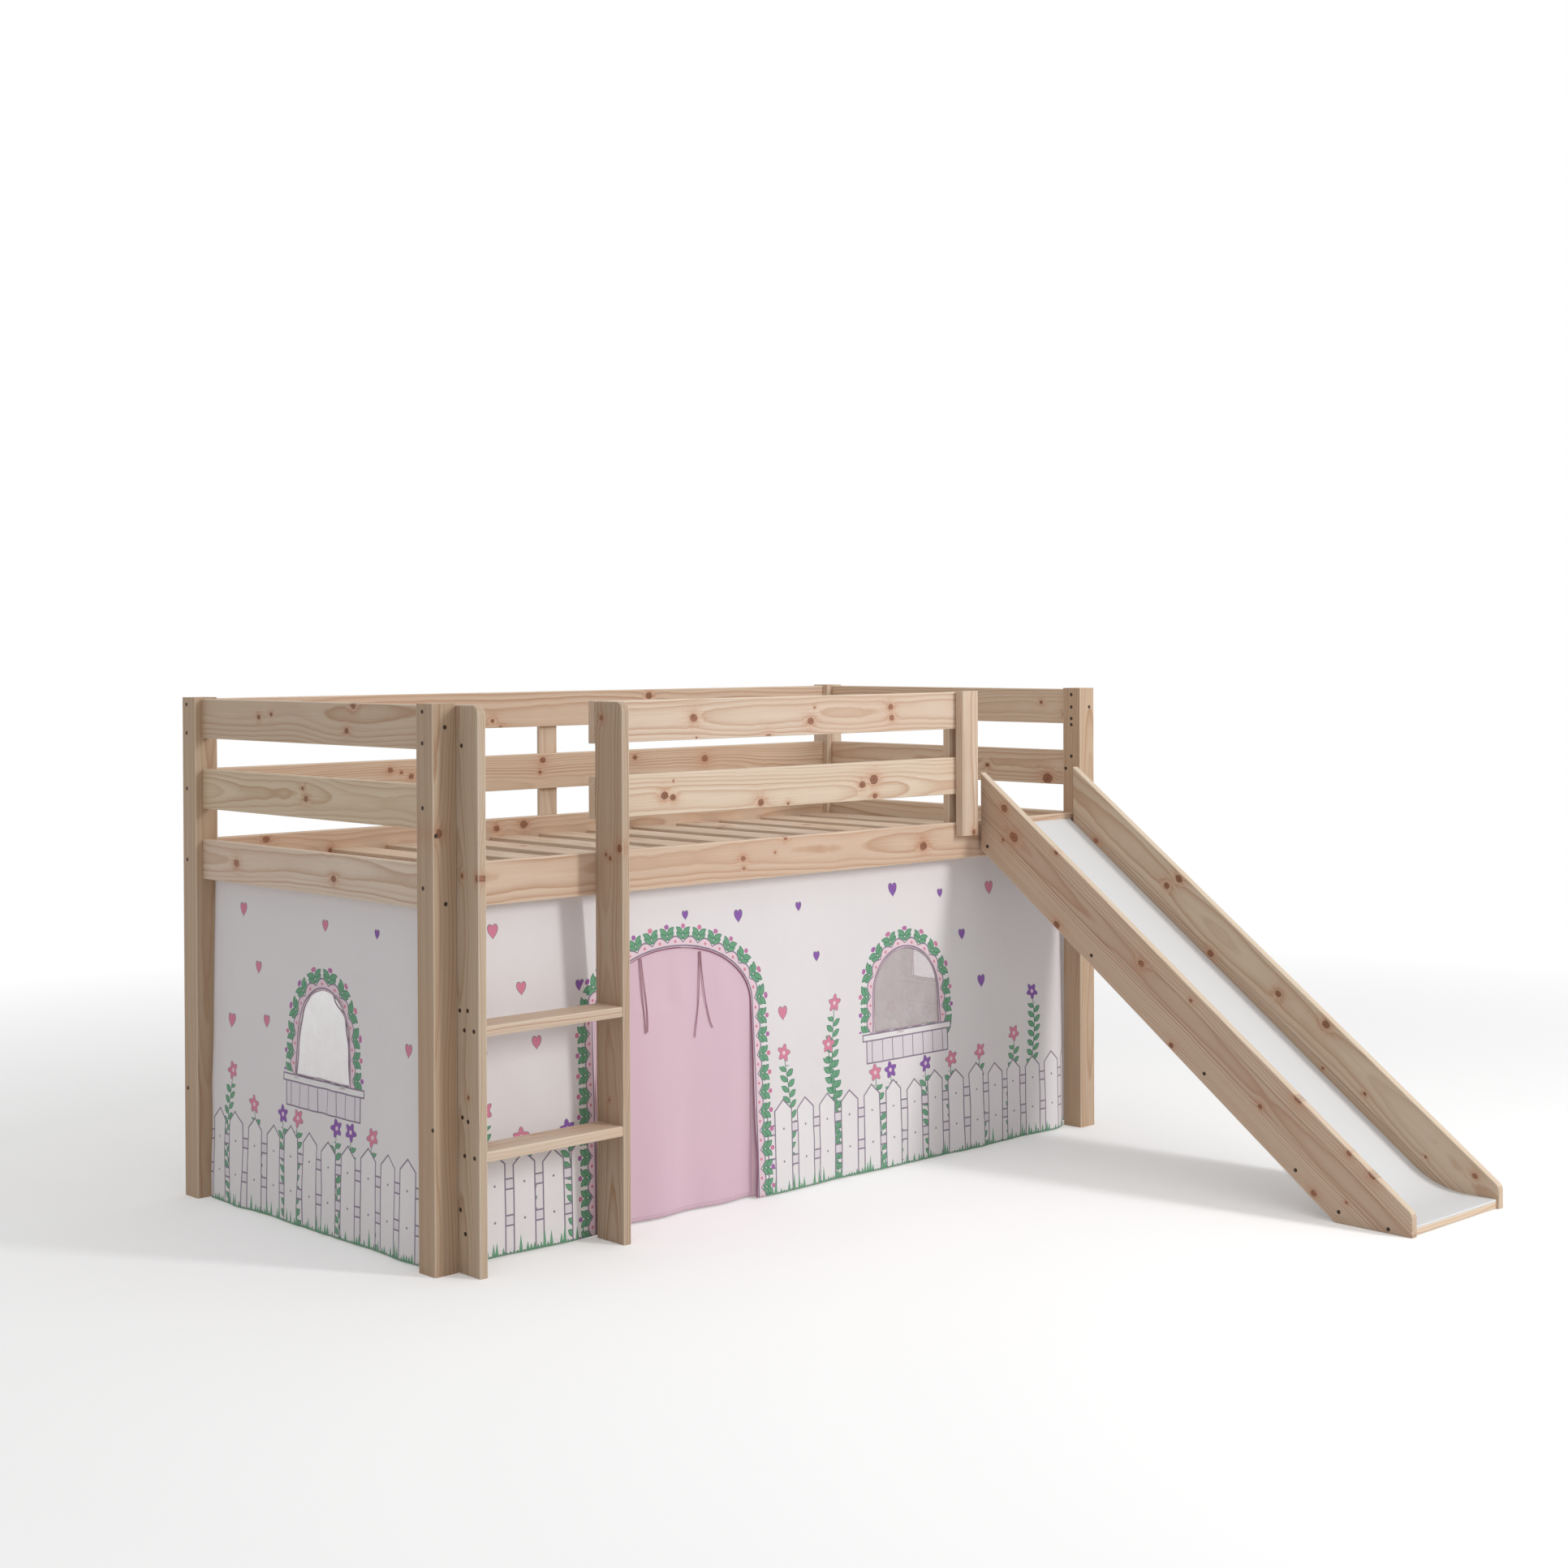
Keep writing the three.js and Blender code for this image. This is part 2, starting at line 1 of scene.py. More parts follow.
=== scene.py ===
"""Looks of a low pine loft bed with ladder, slide and hung play curtains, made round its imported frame."""

import math
from collections import namedtuple

import bpy
import numpy as np
from mathutils import Euler, Matrix, Vector


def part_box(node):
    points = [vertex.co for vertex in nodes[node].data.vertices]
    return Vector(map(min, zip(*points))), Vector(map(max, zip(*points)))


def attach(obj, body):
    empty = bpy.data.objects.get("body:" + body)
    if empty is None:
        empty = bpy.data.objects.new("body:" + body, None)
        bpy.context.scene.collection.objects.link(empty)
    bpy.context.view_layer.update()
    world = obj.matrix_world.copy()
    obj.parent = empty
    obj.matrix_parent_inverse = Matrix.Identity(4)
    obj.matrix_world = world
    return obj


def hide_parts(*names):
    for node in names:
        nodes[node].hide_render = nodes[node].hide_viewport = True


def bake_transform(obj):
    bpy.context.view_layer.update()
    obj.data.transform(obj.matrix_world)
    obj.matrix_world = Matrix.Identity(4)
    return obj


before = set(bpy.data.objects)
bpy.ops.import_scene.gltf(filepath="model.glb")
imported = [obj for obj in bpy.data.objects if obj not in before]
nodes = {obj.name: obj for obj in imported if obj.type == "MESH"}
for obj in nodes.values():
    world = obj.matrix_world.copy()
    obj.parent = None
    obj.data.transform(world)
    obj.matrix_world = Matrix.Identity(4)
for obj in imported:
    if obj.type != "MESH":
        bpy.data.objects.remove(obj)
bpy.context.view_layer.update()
scene = bpy.context.scene


# Camera
# It stands at an adult's eye level off the ladder's corner, 3.7 m out both ways, and looks along the bed
# with its frame moved down a little, so that the posts stay upright in the picture.
camera_place = Vector((-3.7002, -3.6522, 1.2525))
camera_heading = math.radians(43.617)
camera_dip = math.radians(0.633)
camera_roll = math.radians(-0.214)
picture_width = 1932
focal_pixels = 2835.6
axis_pixels = (948.9, 827.1)


def way_at(bearing, rise):
    """The unit vector at a bearing, clockwise from +Y as seen from above, that rises by an angle."""
    flat = math.cos(rise)
    return Vector((math.sin(bearing) * flat, math.cos(bearing) * flat, math.sin(rise)))


lens = bpy.data.cameras.new("camera")
lens.sensor_width = 36
lens.lens = lens.sensor_width * focal_pixels / picture_width
lens.shift_x = 1 / 2 - axis_pixels[0] / picture_width
lens.shift_y = axis_pixels[1] / picture_width - 1 / 2
camera = bpy.data.objects.new("camera", lens)
ahead = way_at(camera_heading, -camera_dip)
level = Vector((math.cos(camera_heading), -math.sin(camera_heading), 0))
upright = level.cross(ahead)
right = math.cos(camera_roll) * level + math.sin(camera_roll) * upright
above = math.cos(camera_roll) * upright - math.sin(camera_roll) * level
camera_turn = Matrix((right, above, -ahead)).transposed().to_4x4()
camera.matrix_world = Matrix.Translation(camera_place) @ camera_turn
scene.collection.objects.link(camera)
scene.camera = camera
scene.view_settings.view_transform = "Standard"


# Shader maths
# A colour or roughness that varies is an expression of wires, and each material's nodes grow in its Finish.
soft_edge = 0.0006
woven_roughness = 0.85
cotton_sheen = 0.15


def operator(operation, swapped=False):
    """A method that adds the Math node of a wire and another value, or of the two swapped."""

    def apply(self, other=0.0):
        first, second = (other, self) if swapped else (self, other)
        return self.finish.node("Math", {0: first, 1: second}, operation=operation)

    return apply


class Wire:
    """A shader socket in an expression: each operator adds the Math node that works it out."""

    __add__ = __radd__ = operator("ADD")
    __sub__ = operator("SUBTRACT")
    __rsub__ = operator("SUBTRACT", swapped=True)
    __mul__ = __rmul__ = operator("MULTIPLY")
    __truediv__ = operator("DIVIDE")
    __rtruediv__ = operator("DIVIDE", swapped=True)
    __pow__ = operator("POWER")
    __mod__ = operator("FLOORED_MODULO")
    __abs__ = operator("ABSOLUTE")
    floor = operator("FLOOR")
    sign = operator("SIGN")
    sine = operator("SINE")
    cosine = operator("COSINE")
    arctan2 = operator("ARCTAN2")
    least = operator("MINIMUM")
    most = operator("MAXIMUM")

    def __init__(self, finish, socket):
        self.finish = finish
        self.socket = socket

    def out(self, name):
        """Another output of the same node."""
        return Wire(self.finish, self.socket.node.outputs[name])

    def within(self):
        """Held between 0 and 1."""
        return self.finish.node("Math", {0: self, 1: 0.0}, operation="ADD", use_clamp=True)

    def filled(self):
        """1 where a shape's inward distance is above zero and 0 outside it, over a narrow soft edge."""
        values = {0: self, 1: 1 / soft_edge, 2: 0.5}
        return self.finish.node("Math", values, operation="MULTIPLY_ADD", use_clamp=True)


def radius(across, up):
    """How far a place is from the middle."""
    return (across * across + up * up) ** 0.5


class Finish:
    """The node tree of a new material, or of the world. It grows by node(): a type, the values or links of
    its sockets, the output that is used and its settings."""

    def __init__(self, name, world=None):
        self.owner = world or bpy.data.materials.new(name)
        self.owner.use_nodes = True
        self.tree = self.owner.node_tree
        self.tree.nodes.clear()

    def node(self, kind, sockets=None, out=0, **settings):
        made = self.tree.nodes.new("ShaderNode" + kind)
        for name, value in settings.items():
            setattr(made, name, value)
        for name, value in (sockets or {}).items():
            if isinstance(value, Wire):
                self.tree.links.new(value.socket, made.inputs[name])
            else:
                made.inputs[name].default_value = value
        return Wire(self, made.outputs[out]) if made.outputs else None

    def blend(self, share, first, second):
        """The first colour where share is 0 and the second where it is 1."""
        first, second = (c if isinstance(c, Wire) else (*c, 1.0) for c in (first, second))
        return self.node("Mix", {0: share, 6: first, 7: second}, out=2, data_type="RGBA")

    def noise(self, vector, scale, detail=2.0, roughness=0.5):
        sockets = {"Vector": vector, "Scale": scale, "Detail": detail, "Roughness": roughness}
        return self.node("TexNoise", sockets)

    def random(self, number, salt):
        """A random number from 0 to 1 for each whole number."""
        return self.node("TexWhiteNoise", {"W": number + salt}, out="Value", noise_dimensions="1D")

    def parts(self, vector):
        """The three numbers of a vector."""
        split = self.node("SeparateXYZ", {0: vector})
        return split, split.out("Y"), split.out("Z")

    def joined(self, x, y, z=0.0):
        return self.node("CombineXYZ", {0: x, 1: y, 2: z})

    def stretched(self, vector, factors):
        return self.node("VectorMath", {0: vector, 1: factors}, operation="MULTIPLY")

    def threads(self, vector, scale, way="X"):
        """A smooth wave from 0 to 1, like threads laid side by side."""
        return self.node("TexWave", {"Vector": vector, "Scale": scale}, out="Fac", bands_direction=way)

    def bump(self, strength, distance, height):
        """The normal of a surface that a height of 1 lifts by the distance."""
        return self.node("Bump", {"Strength": strength, "Distance": distance, "Height": height})

    def place(self):
        """Object coordinates: metres in the bed's own frame."""
        return self.node("TexCoord", out="Object")

    def surface(self, colour, roughness, others):
        """Ends the tree in a principled shader with these sockets."""
        sockets = {"Base Color": colour, "Roughness": roughness, **others}
        self.node("OutputMaterial", {"Surface": self.node("BsdfPrincipled", sockets)})
        return self.owner


# Studio
# A tall strip light stands in front and a little to the right, a wide soft one hangs over the bed, and the
# pale floor and surroundings fill the shade. Camera and mirror rays see the surroundings, and the floor's
# far part, as white.
centre = Vector((0, 0.3, 0.5))
strip_bearing = math.radians(159)
strip_height = math.radians(24)
strip_distance = 6.0
strip_size = (0.6, 2.2)
strip_power = 137
overhead_size = 5.0
overhead_height = 4.5
overhead_power = 48
surroundings = 0.52
floor_half = 14.0
floor_bounce = 0.9
floor_glow = 0.17
floor_fade_start = 2.2
floor_fade_end = 4.6


def area_light(name, place, size, power):
    light = bpy.data.lights.new(name, "AREA")
    light.shape = "RECTANGLE"
    light.size, light.size_y = size
    light.energy = power
    lamp = bpy.data.objects.new(name, light)
    lamp.location = place
    lamp.rotation_euler = (centre - place).to_track_quat("-Z", "Y").to_euler()
    scene.collection.objects.link(lamp)


strip_place = centre + strip_distance * way_at(strip_bearing, strip_height)
area_light("strip_light", strip_place, strip_size, strip_power)
overhead_place = Vector((0, 0, overhead_height))
area_light("overhead_light", overhead_place, (overhead_size, overhead_size), overhead_power)


def seen_by(finish):
    """1 for rays from the camera, off a mirror or through glass, and 0 for those that light the object."""
    path = finish.node("LightPath", out="Is Camera Ray")
    return path.most(path.out("Is Glossy Ray")).most(path.out("Is Transmission Ray"))


scene.world = bpy.data.worlds.new("surroundings")
sky = Finish("surroundings", scene.world)
strength = seen_by(sky) * (1 - surroundings) + surroundings
backdrop = sky.node("Background", {"Color": (1, 1, 1, 1), "Strength": strength})
sky.node("OutputWorld", {"Surface": backdrop})

ground = Finish("studio_floor")
matt = ground.node("BsdfDiffuse", {"Color": (floor_bounce, floor_bounce, floor_bounce, 1)})
glow = ground.node("Emission", {"Color": (1, 1, 1, 1), "Strength": floor_glow})
white = ground.node("Emission", {"Color": (1, 1, 1, 1), "Strength": 1.0})
lifted = ground.node("AddShader", {0: matt, 1: glow})
away = ground.node("VectorMath", {0: ground.place()}, out="Value", operation="LENGTH")
far = ((away - floor_fade_start) / (floor_fade_end - floor_fade_start)).within()
faded = ground.node("MixShader", {0: far, 1: lifted, 2: white})
floor_seen = ground.node("MixShader", {0: seen_by(ground), 1: matt, 2: faded})
ground.node("OutputMaterial", {"Surface": floor_seen})

floor_mesh = bpy.data.meshes.new("studio_floor")
corner_signs = [(-1, -1), (1, -1), (1, 1), (-1, 1)]
floor_corners = [(floor_half * x, floor_half * y, 0) for x, y in corner_signs]
floor_mesh.from_pydata(floor_corners, [], [(0, 1, 2, 3)])
floor_mesh.materials.append(ground.owner)
floor = bpy.data.objects.new("studio_floor", floor_mesh)
scene.collection.objects.link(floor)


# Door ties
# Four strands of narrow dark pink tape, sewn in two pairs to the door's arch. They hold the door when it is
# rolled up, and hang down over it when it is shut.
tie_diameter = 0.0025
tie_points = 25
tie_routes = {
    "left_tie_front": [
        (-0.467, 0.1548, 0.574), (-0.4665, 0.1529, 0.545), (-0.465, 0.1509, 0.513), (-0.463, 0.1491, 0.482),
        (-0.46, 0.1479, 0.453), (-0.4575, 0.1476, 0.432), (-0.4565, 0.1476, 0.411),
    ],
    "left_tie_back": [
        (-0.463, 0.1548, 0.574), (-0.4605, 0.1529, 0.545), (-0.457, 0.1509, 0.513), (-0.4535, 0.1491, 0.482),
        (-0.4515, 0.1479, 0.453), (-0.4505, 0.1476, 0.432), (-0.451, 0.1476, 0.413),
    ],
    "right_tie_front": [
        (-0.294, 0.1548, 0.574), (-0.2955, 0.1526, 0.54), (-0.2985, 0.1501, 0.5), (-0.3025, 0.1482, 0.46),
        (-0.307, 0.1476, 0.43), (-0.311, 0.1476, 0.405), (-0.3135, 0.1476, 0.386),
    ],
    "right_tie_back": [
        (-0.29, 0.1548, 0.574), (-0.289, 0.1529, 0.545), (-0.2865, 0.1507, 0.51), (-0.282, 0.1489, 0.475),
        (-0.276, 0.1478, 0.445), (-0.269, 0.1476, 0.42), (-0.2605, 0.1476, 0.402),
    ],
}


def eased(route, count):
    """Points at even steps along the smooth curve through a route: each stretch is a cubic whose slope at a
    point is half the way between its neighbours."""
    route = np.array(route)
    ends = np.vstack([2 * route[0] - route[1], route, 2 * route[-1] - route[-2]])
    step = np.linspace(0, len(route) - 1, count)
    start = np.minimum(step.astype(int), len(route) - 2)
    t = (step - start)[:, None]
    before, here, there, after = (ends[start + k] for k in range(4))
    square_term = 2 * before - 5 * here + 4 * there - after
    cube_term = 3 * here - before - 3 * there + after
    return here + ((there - before) * t + square_term * t**2 + cube_term * t**3) / 2


def woven_tape():
    """Narrow tape: a fine slant twill as bump, and a colour that varies a little along it."""
    finish = Finish("tie_tape")
    place = finish.place()
    bump = finish.bump(0.4, 0.0003, finish.threads(place, 300.0, "DIAGONAL"))
    colour = finish.blend(finish.noise(place, 60.0), (0.42, 0.22, 0.28), (0.5, 0.29, 0.35))
    return finish.surface(colour, woven_roughness, {"Normal": bump})


tape = woven_tape()
for strand, route in tie_routes.items():
    line = eased(route, tie_points)
    curve = bpy.data.curves.new(strand + "_tape", "CURVE")
    curve.dimensions = "3D"
    curve.bevel_depth = tie_diameter / 2
    curve.bevel_resolution = 3
    curve.use_fill_caps = True
    spline = curve.splines.new("POLY")
    spline.points.add(len(line) - 1)
    spline.points.foreach_set("co", np.column_stack([line, np.ones(len(line))]).ravel())
    curve.materials.append(tape)
    tie = bpy.data.objects.new(strand + "_tape", curve)
    scene.collection.objects.link(tie)
    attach(tie, "bed")
    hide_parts(strand)


# Timber
# Every board, post, stile, tread and slat is planed pine with eased edges under a thin clear lacquer.
# Each has its own rings and tone, as it is cut from its own place in a trunk; the listed tones also hold
# painted shade. Pale arrises are sanded wear, and on the slide planks also a painted highlight. The slide's
# wide planks are glued up from narrower strips.
plank_width = 0.153
plank_head = Vector((0, 0.113, 0.937))
plank_nose = Vector((0, -1.085, 0.0505))
slide_slope = math.atan((plank_head.z - plank_nose.z) / (plank_head.y - plank_nose.y))
glue_joints = {"left_slide_plank": (-0.04, 0.008), "right_slide_plank": (0.018,)}
knot_pitch = 0.135
knot_share = 0.42
knot_least = 0.0022
knot_spread = 0.006
knot_stretch = 0.8
few_knots = 0.06
no_knot = 40
ring_swell = 0.008
ring_wobble = 0.0024
fibre_wobble = 0.0006
drift_reach = (0.05, 0.034)
strip_offset = (0.043, 0.019)
glue_half = 0.0008
# How far in the paler edge reaches and how it fades: sanded wear, and a painted highlight on the slide
# planks.
wear_and_highlight_depth = 0.0032
wear_and_highlight_fade = 0.0016
# Listed tones: the wood's own tone and painted shade together. They are darkest on the posts, the stiles and
# the slide planks, whose faces lie in shade, and the front left post most, as its front face lies in its
# stile's shadow.
board_tones_and_painted_shade = {
    "left_ladder_stile": (0.77, 0.75, 0.71),
    "right_ladder_stile": (0.71, 0.67, 0.63),
    "front_right_post": (0.78, 0.7, 0.62),
    "front_left_post": (0.67, 0.6, 0.53),
    "back_left_post": (0.72, 0.65, 0.57),
    "front_side_board": (0.92, 0.84, 0.8),
    "left_slide_plank": (0.81, 0.77, 0.74),
    "right_slide_plank": (0.86, 0.85, 0.82),
    "ladder_tread_1": (0.95, 0.94, 0.94),
    "ladder_tread_2": (0.89, 0.86, 0.85),
    "upper_guard_board": (0.97, 0.945, 0.95),
    "middle_guard_board": (1.0, 1.0, 0.99),
    "guard_outer_batten": (0.92, 0.9, 0.9),
    "upper_left_end_board": (0.83, 0.78, 0.73),
    "middle_left_end_board": (0.92, 0.9, 0.82),
    "lower_left_end_board": (0.98, 0.98, 1.0),
    "upper_back_board": (0.96, 0.9, 0.87),
    "middle_back_board": (0.95, 0.88, 0.83),
    "lower_back_board": (0.93, 0.85, 0.8),
}
board_knots = {
    "upper_guard_board": [
        (-0.335, 1.095, 0.0068), (-0.327, 1.051, 0.002), (0.039, 1.11, 0.002), (0.026, 1.079, 0.0065),
        (0.294, 1.106, 0.0055), (0.298, 1.08, 0.0055),
    ],
    "middle_guard_board": [
        (-0.42, 0.928, 0.0072), (-0.395, 0.958, 0.0018), (-0.133, 0.899, 0.0062), (0.236, 0.935, 0.0092),
        (0.239, 0.896, 0.0055), (-0.047, 0.892, 0.0028),
    ],
    "front_side_board": [
        (-0.188, 0.776, 0.0048), (-0.186, 0.753, 0.0026), (-0.089, 0.783, 0.002), (0.408, 0.767, 0.0082),
        (-0.056, 0.814, 0.004),
    ],
    "left_slide_plank": [
        (0.036, 0.852, 0.0068), (0.006, 0.783, 0.0088), (0.04, 0.774, 0.0032), (-0.127, 0.58, 0.0065),
        (-0.379, 0.511, 0.006), (-0.519, 0.44, 0.003), (-0.706, 0.225, 0.004), (-0.464, 0.331, 0.0045),
        (-0.933, 0.156, 0.0045), (-0.844, 0.055, 0.005), (-0.926, 0.049, 0.0025),
    ],
    "right_slide_plank": [
        (-0.222, 0.671, 0.007), (-0.184, 0.651, 0.006), (-0.511, 0.416, 0.006), (-0.643, 0.358, 0.007),
        (-0.747, 0.209, 0.003), (0.038, 0.75, 0.005), (-0.316, 0.494, 0.0065), (-0.634, 0.254, 0.0025),
        (-0.904, 0.087, 0.0025), (-1.027, 0.064, 0.0045),
    ],
    "upper_left_end_board": [
        (0.413, 1.132, 0.006), (0.438, 1.078, 0.005), (0.785, 1.1, 0.0045), (0.734, 1.107, 0.0038),
    ],
    "middle_left_end_board": [(0.609, 0.951, 0.0035), (0.596, 0.929, 0.0055)],
    "upper_right_end_board": [(0.25, 1.101, 0.0035), (0.174, 1.071, 0.003)],
    "middle_right_end_board": [(0.438, 0.929, 0.0042), (0.229, 0.901, 0.0105)],
    "lower_left_end_board": [(0.883, 0.772, 0.0068), (0.491, 0.765, 0.0062), (0.507, 0.824, 0.004)],
    "front_left_post": [(-1.03, 0.882, 0.006)],
    "left_ladder_stile": [(0.037, 0.794, 0.005), (0.088, 0.797, 0.0035), (0.07, 0.356, 0.003)],
    "right_ladder_stile": [
        (0.043, 0.83, 0.006), (0.087, 0.815, 0.0025), (0.074, 0.808, 0.003), (0.08, 0.299, 0.002),
    ],
    "upper_back_board": [(0.327, 1.12, 0.007), (-0.194, 1.065, 0.004)],
    "middle_back_board": [
        (-0.503, 0.953, 0.005), (-0.442, 0.935, 0.005), (-0.471, 0.945, 0.003), (-0.034, 0.96, 0.006),
        (-0.043, 0.929, 0.0035), (0.277, 0.956, 0.005), (0.528, 0.944, 0.0075),
    ],
    "lower_back_board": [(-0.85, 0.805, 0.006), (-0.674, 0.769, 0.005), (-0.183, 0.792, 0.006)],
}
grain_turns = {
    "x": Euler((0, -math.pi / 2, 0)),
    "y": Euler((math.pi / 2, 0, 0)),
    "z": Euler((0, 0, 0)),
    "slide": Euler((math.pi / 2 - slide_slope, 0, 0)),
}


def from_knots(finish, name, turn, wide_axis, middle, wide, thin, along, shift):
    """How far a point is from the nearest knot, in that knot's own radii. A board with knots of its own
    has fewer of those that fall at random. A knot is a little longer than wide."""
    share = few_knots if name in board_knots else knot_share
    along = along * knot_stretch
    post = name.endswith("_post")
    cells = finish.joined(wide + shift[0], along + shift[2], thin + shift[1] if post else 0.0)
    sockets = {"Vector": cells, "Scale": 1 / knot_pitch}
    random_knots = finish.node("TexVoronoi", sockets, voronoi_dimensions="3D" if post else "2D")
    chance = finish.parts(random_knots.out("Color"))[0]
    held = ((share - chance) / share).within()
    reach = knot_least + knot_spread * held
    away = random_knots * knot_pitch / reach + (1 - (held * no_knot).within()) * no_knot
    flat_place = finish.joined(wide, along)
    for u, v, size in board_knots.get(name, ()):
        spot = turn.to_matrix() @ Vector((u, u, v))
        knot_place = (spot[wide_axis] - middle[wide_axis], (spot.z - middle[2]) * knot_stretch, 0)
        both = {0: flat_place, 1: knot_place}
        away = away.least(finish.node("VectorMath", both, out="Value", operation="DISTANCE") / size)
    return away


def pine(name, grain, seed):
    """Pine as a cut through a trunk. A point's ring number is its distance from the heart line over the
    ring spacing. The heart line drifts along the board, as a trunk tapers and bends, and near a knot the
    distance swells, so that the rings go round it. A ring darkens with a power of the way across it, then
    ends sharply, and some rings are stronger than others."""
    draw = np.random.default_rng(seed)
    low, high = (np.array(corner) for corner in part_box(name))
    turn = grain_turns[grain]
    to_local = np.array(turn.to_matrix())
    middle = to_local @ ((low + high) / 2)
    extent = np.abs(to_local @ (high - low))
    wide_axis = 1 if grain == "slide" or extent[1] > extent[0] else 0
    half_wide, half_thin = extent[wide_axis] / 2, extent[1 - wide_axis] / 2
    if grain == "slide":
        half_wide = plank_width / 2
        middle[1] = (turn.to_matrix() @ plank_head).y + half_wide
    spacing = draw.uniform(0.0042, 0.0072)
    heart_wide = draw.uniform(-0.035, 0.035)
    heart_thin = draw.uniform(0.04, 0.1) * draw.choice([-1, 1])
    taper = draw.uniform(0.004, 0.014) * draw.choice([-1, 1])
    shift = draw.uniform(-50, 50, 3)
    warmth = draw.uniform(0, 1)
    tone = draw.uniform(0.96, 1.03) * np.array((1, 1 - 0.03 * warmth, 1 - 0.07 * warmth))
    # A listed tone, which also paints in shade, takes the place of the random one.
    tone = np.array(board_tones_and_painted_shade.get(name, tone))

    finish = Finish("pine_" + name)
    sockets = {"Vector": finish.place(), "Location": tuple(-middle), "Rotation": turn}
    local = finish.parts(finish.node("Mapping", sockets))
    wide, thin, along = local[wide_axis], local[1 - wide_axis], local[2]
    grown = finish.joined(wide + shift[0], thin + shift[1], along + shift[2])
    drift_wide, drift_thin, patches = finish.parts(finish.noise(grown, 1.8, detail=1.5).out("Color"))
    wobble = finish.noise(grown, 17.0)
    lengthwise = finish.stretched(grown, (1.0, 1.0, 0.025))
    fibre = finish.noise(lengthwise, 310.0)
    bands = finish.noise(lengthwise, 36.0)

    away = from_knots(finish, name, turn, wide_axis, middle, wide, thin, along, shift)
    rough = finish.noise(grown, 125.0, detail=3.0)
    away = away * (0.44 + rough * 0.9)
    near = 1 / (1 + (away / 2.3) ** 2) ** 2

    from_wide = wide - heart_wide + (drift_wide - 0.5) * drift_reach[0]
    from_thin = thin - heart_thin - along * taper + (drift_thin - 0.5) * drift_reach[1]
    strip_layers = []
    if name in glue_joints:
        offs = [wide - joint for joint in glue_joints[name]]
        strip = sum(off.filled() for off in offs)
        from_wide = from_wide + strip * strip_offset[0]
        from_thin = from_thin + strip * strip_offset[1]
        strip_layers = [(strip % 2.0 * 0.32, tone * (0.52, 0.35, 0.26))]
        strip_layers += [((glue_half - abs(off)).filled() * 0.6, (0.2, 0.12, 0.07)) for off in offs]
    from_heart = radius(from_wide, from_thin) + near * ring_swell
    ring = (from_heart + (wobble - 0.5) * ring_wobble + fibre * fibre_wobble) / spacing
    number = ring.floor()
    across_ring = ring - number
    strength = finish.random(number, shift[0]) * 0.8 + 0.35
    late = across_ring**2.4 * ((1 - across_ring) * 7).within() * strength
    streaks = (near**0.5 * (fibre * 2.8 - 1.1)).within()
    core = ((1 - away) * 3 + 0.5).within()
    core_colour = finish.blend(((patches - 0.3) * 2.5).within(), (0.2, 0.072, 0.038), (0.4, 0.17, 0.09))
    rim = (1 - abs(away - 0.92) * 4).within() * ((rough - 0.3) * 3).within()
    # Paler edges: sanded wear along each board's arrises, and on the slide planks a painted highlight over
    # the whole narrow top face, where light from above falls.
    worn = ((abs(wide) - half_wide + wear_and_highlight_depth) / wear_and_highlight_fade).within()
    if grain != "slide":
        worn = worn * ((abs(thin) - half_thin + wear_and_highlight_depth) / wear_and_highlight_fade).within()

    colour = tone * (0.735, 0.605, 0.478)
    layers = [
        (late.within(), tone * (0.44, 0.235, 0.125)),
        (((bands - 0.42) * 1.5).within() * 0.6, tone * (0.6, 0.42, 0.29)),
        (((fibre - 0.5) * 0.45 + 0.08).within(), tone * (0.5, 0.35, 0.225)),
        (((patches - 0.5) * 1.5).within(), tone * (0.7, 0.47, 0.33)),
        *strip_layers,
        ((near * (rough + 0.4)).within(), tone * (0.6, 0.33, 0.2)),
        (streaks * 0.55, (0.4, 0.18, 0.1)),
        (core * 0.9, core_colour),
        (rim, (0.08, 0.03, 0.017)),
        ((1 - away * 2.6).within() * 0.75, (0.07, 0.03, 0.02)),
        # Paler arrises: sanded wear, and a painted highlight on the slide planks' top faces.
        (worn * 0.45, (0.8, 0.69, 0.54)),
    ]
    for share, tint in layers:
        colour = finish.blend(share, colour, tint)
    bump = finish.bump(0.25, 0.0004, fibre * 0.5 - late - core * 0.6)
    return finish.surface(colour, 0.5 + late * 0.12, {"Normal": bump, "Specular IOR Level": 0.35})


ends = [f"{row}_{side}_end_board" for row in ("lower", "middle", "upper") for side in ("left", "right")]
grains = {
    "x": [
        "lower_back_board", "middle_back_board", "upper_back_board", "front_side_board",
        "middle_guard_board", "upper_guard_board", "front_slat_ledge", "back_slat_ledge",
        "ladder_tread_1", "ladder_tread_2", "slide_foot_bar",
        *[f"slide_cross_bar_{bar}" for bar in range(1, 6)],
    ],
    "y": [*ends, *[f"slat_{slat}" for slat in range(1, 14)]],
    "z": [
        *[f"{face}_{side}_post" for face in ("front", "back") for side in ("left", "right")],
        "back_batten", "guard_outer_batten", "guard_inner_batten",
        "left_ladder_stile", "right_ladder_stile",
    ],
    "slide": ["left_slide_plank", "right_slide_plank"],
}
first_seed = 11
boards = [(board, grain) for grain, names in grains.items() for board in names]
for seed, (board, grain) in enumerate(boards, first_seed):
    nodes[board].data.materials.clear()
    nodes[board].data.materials.append(pine(board, grain, seed))


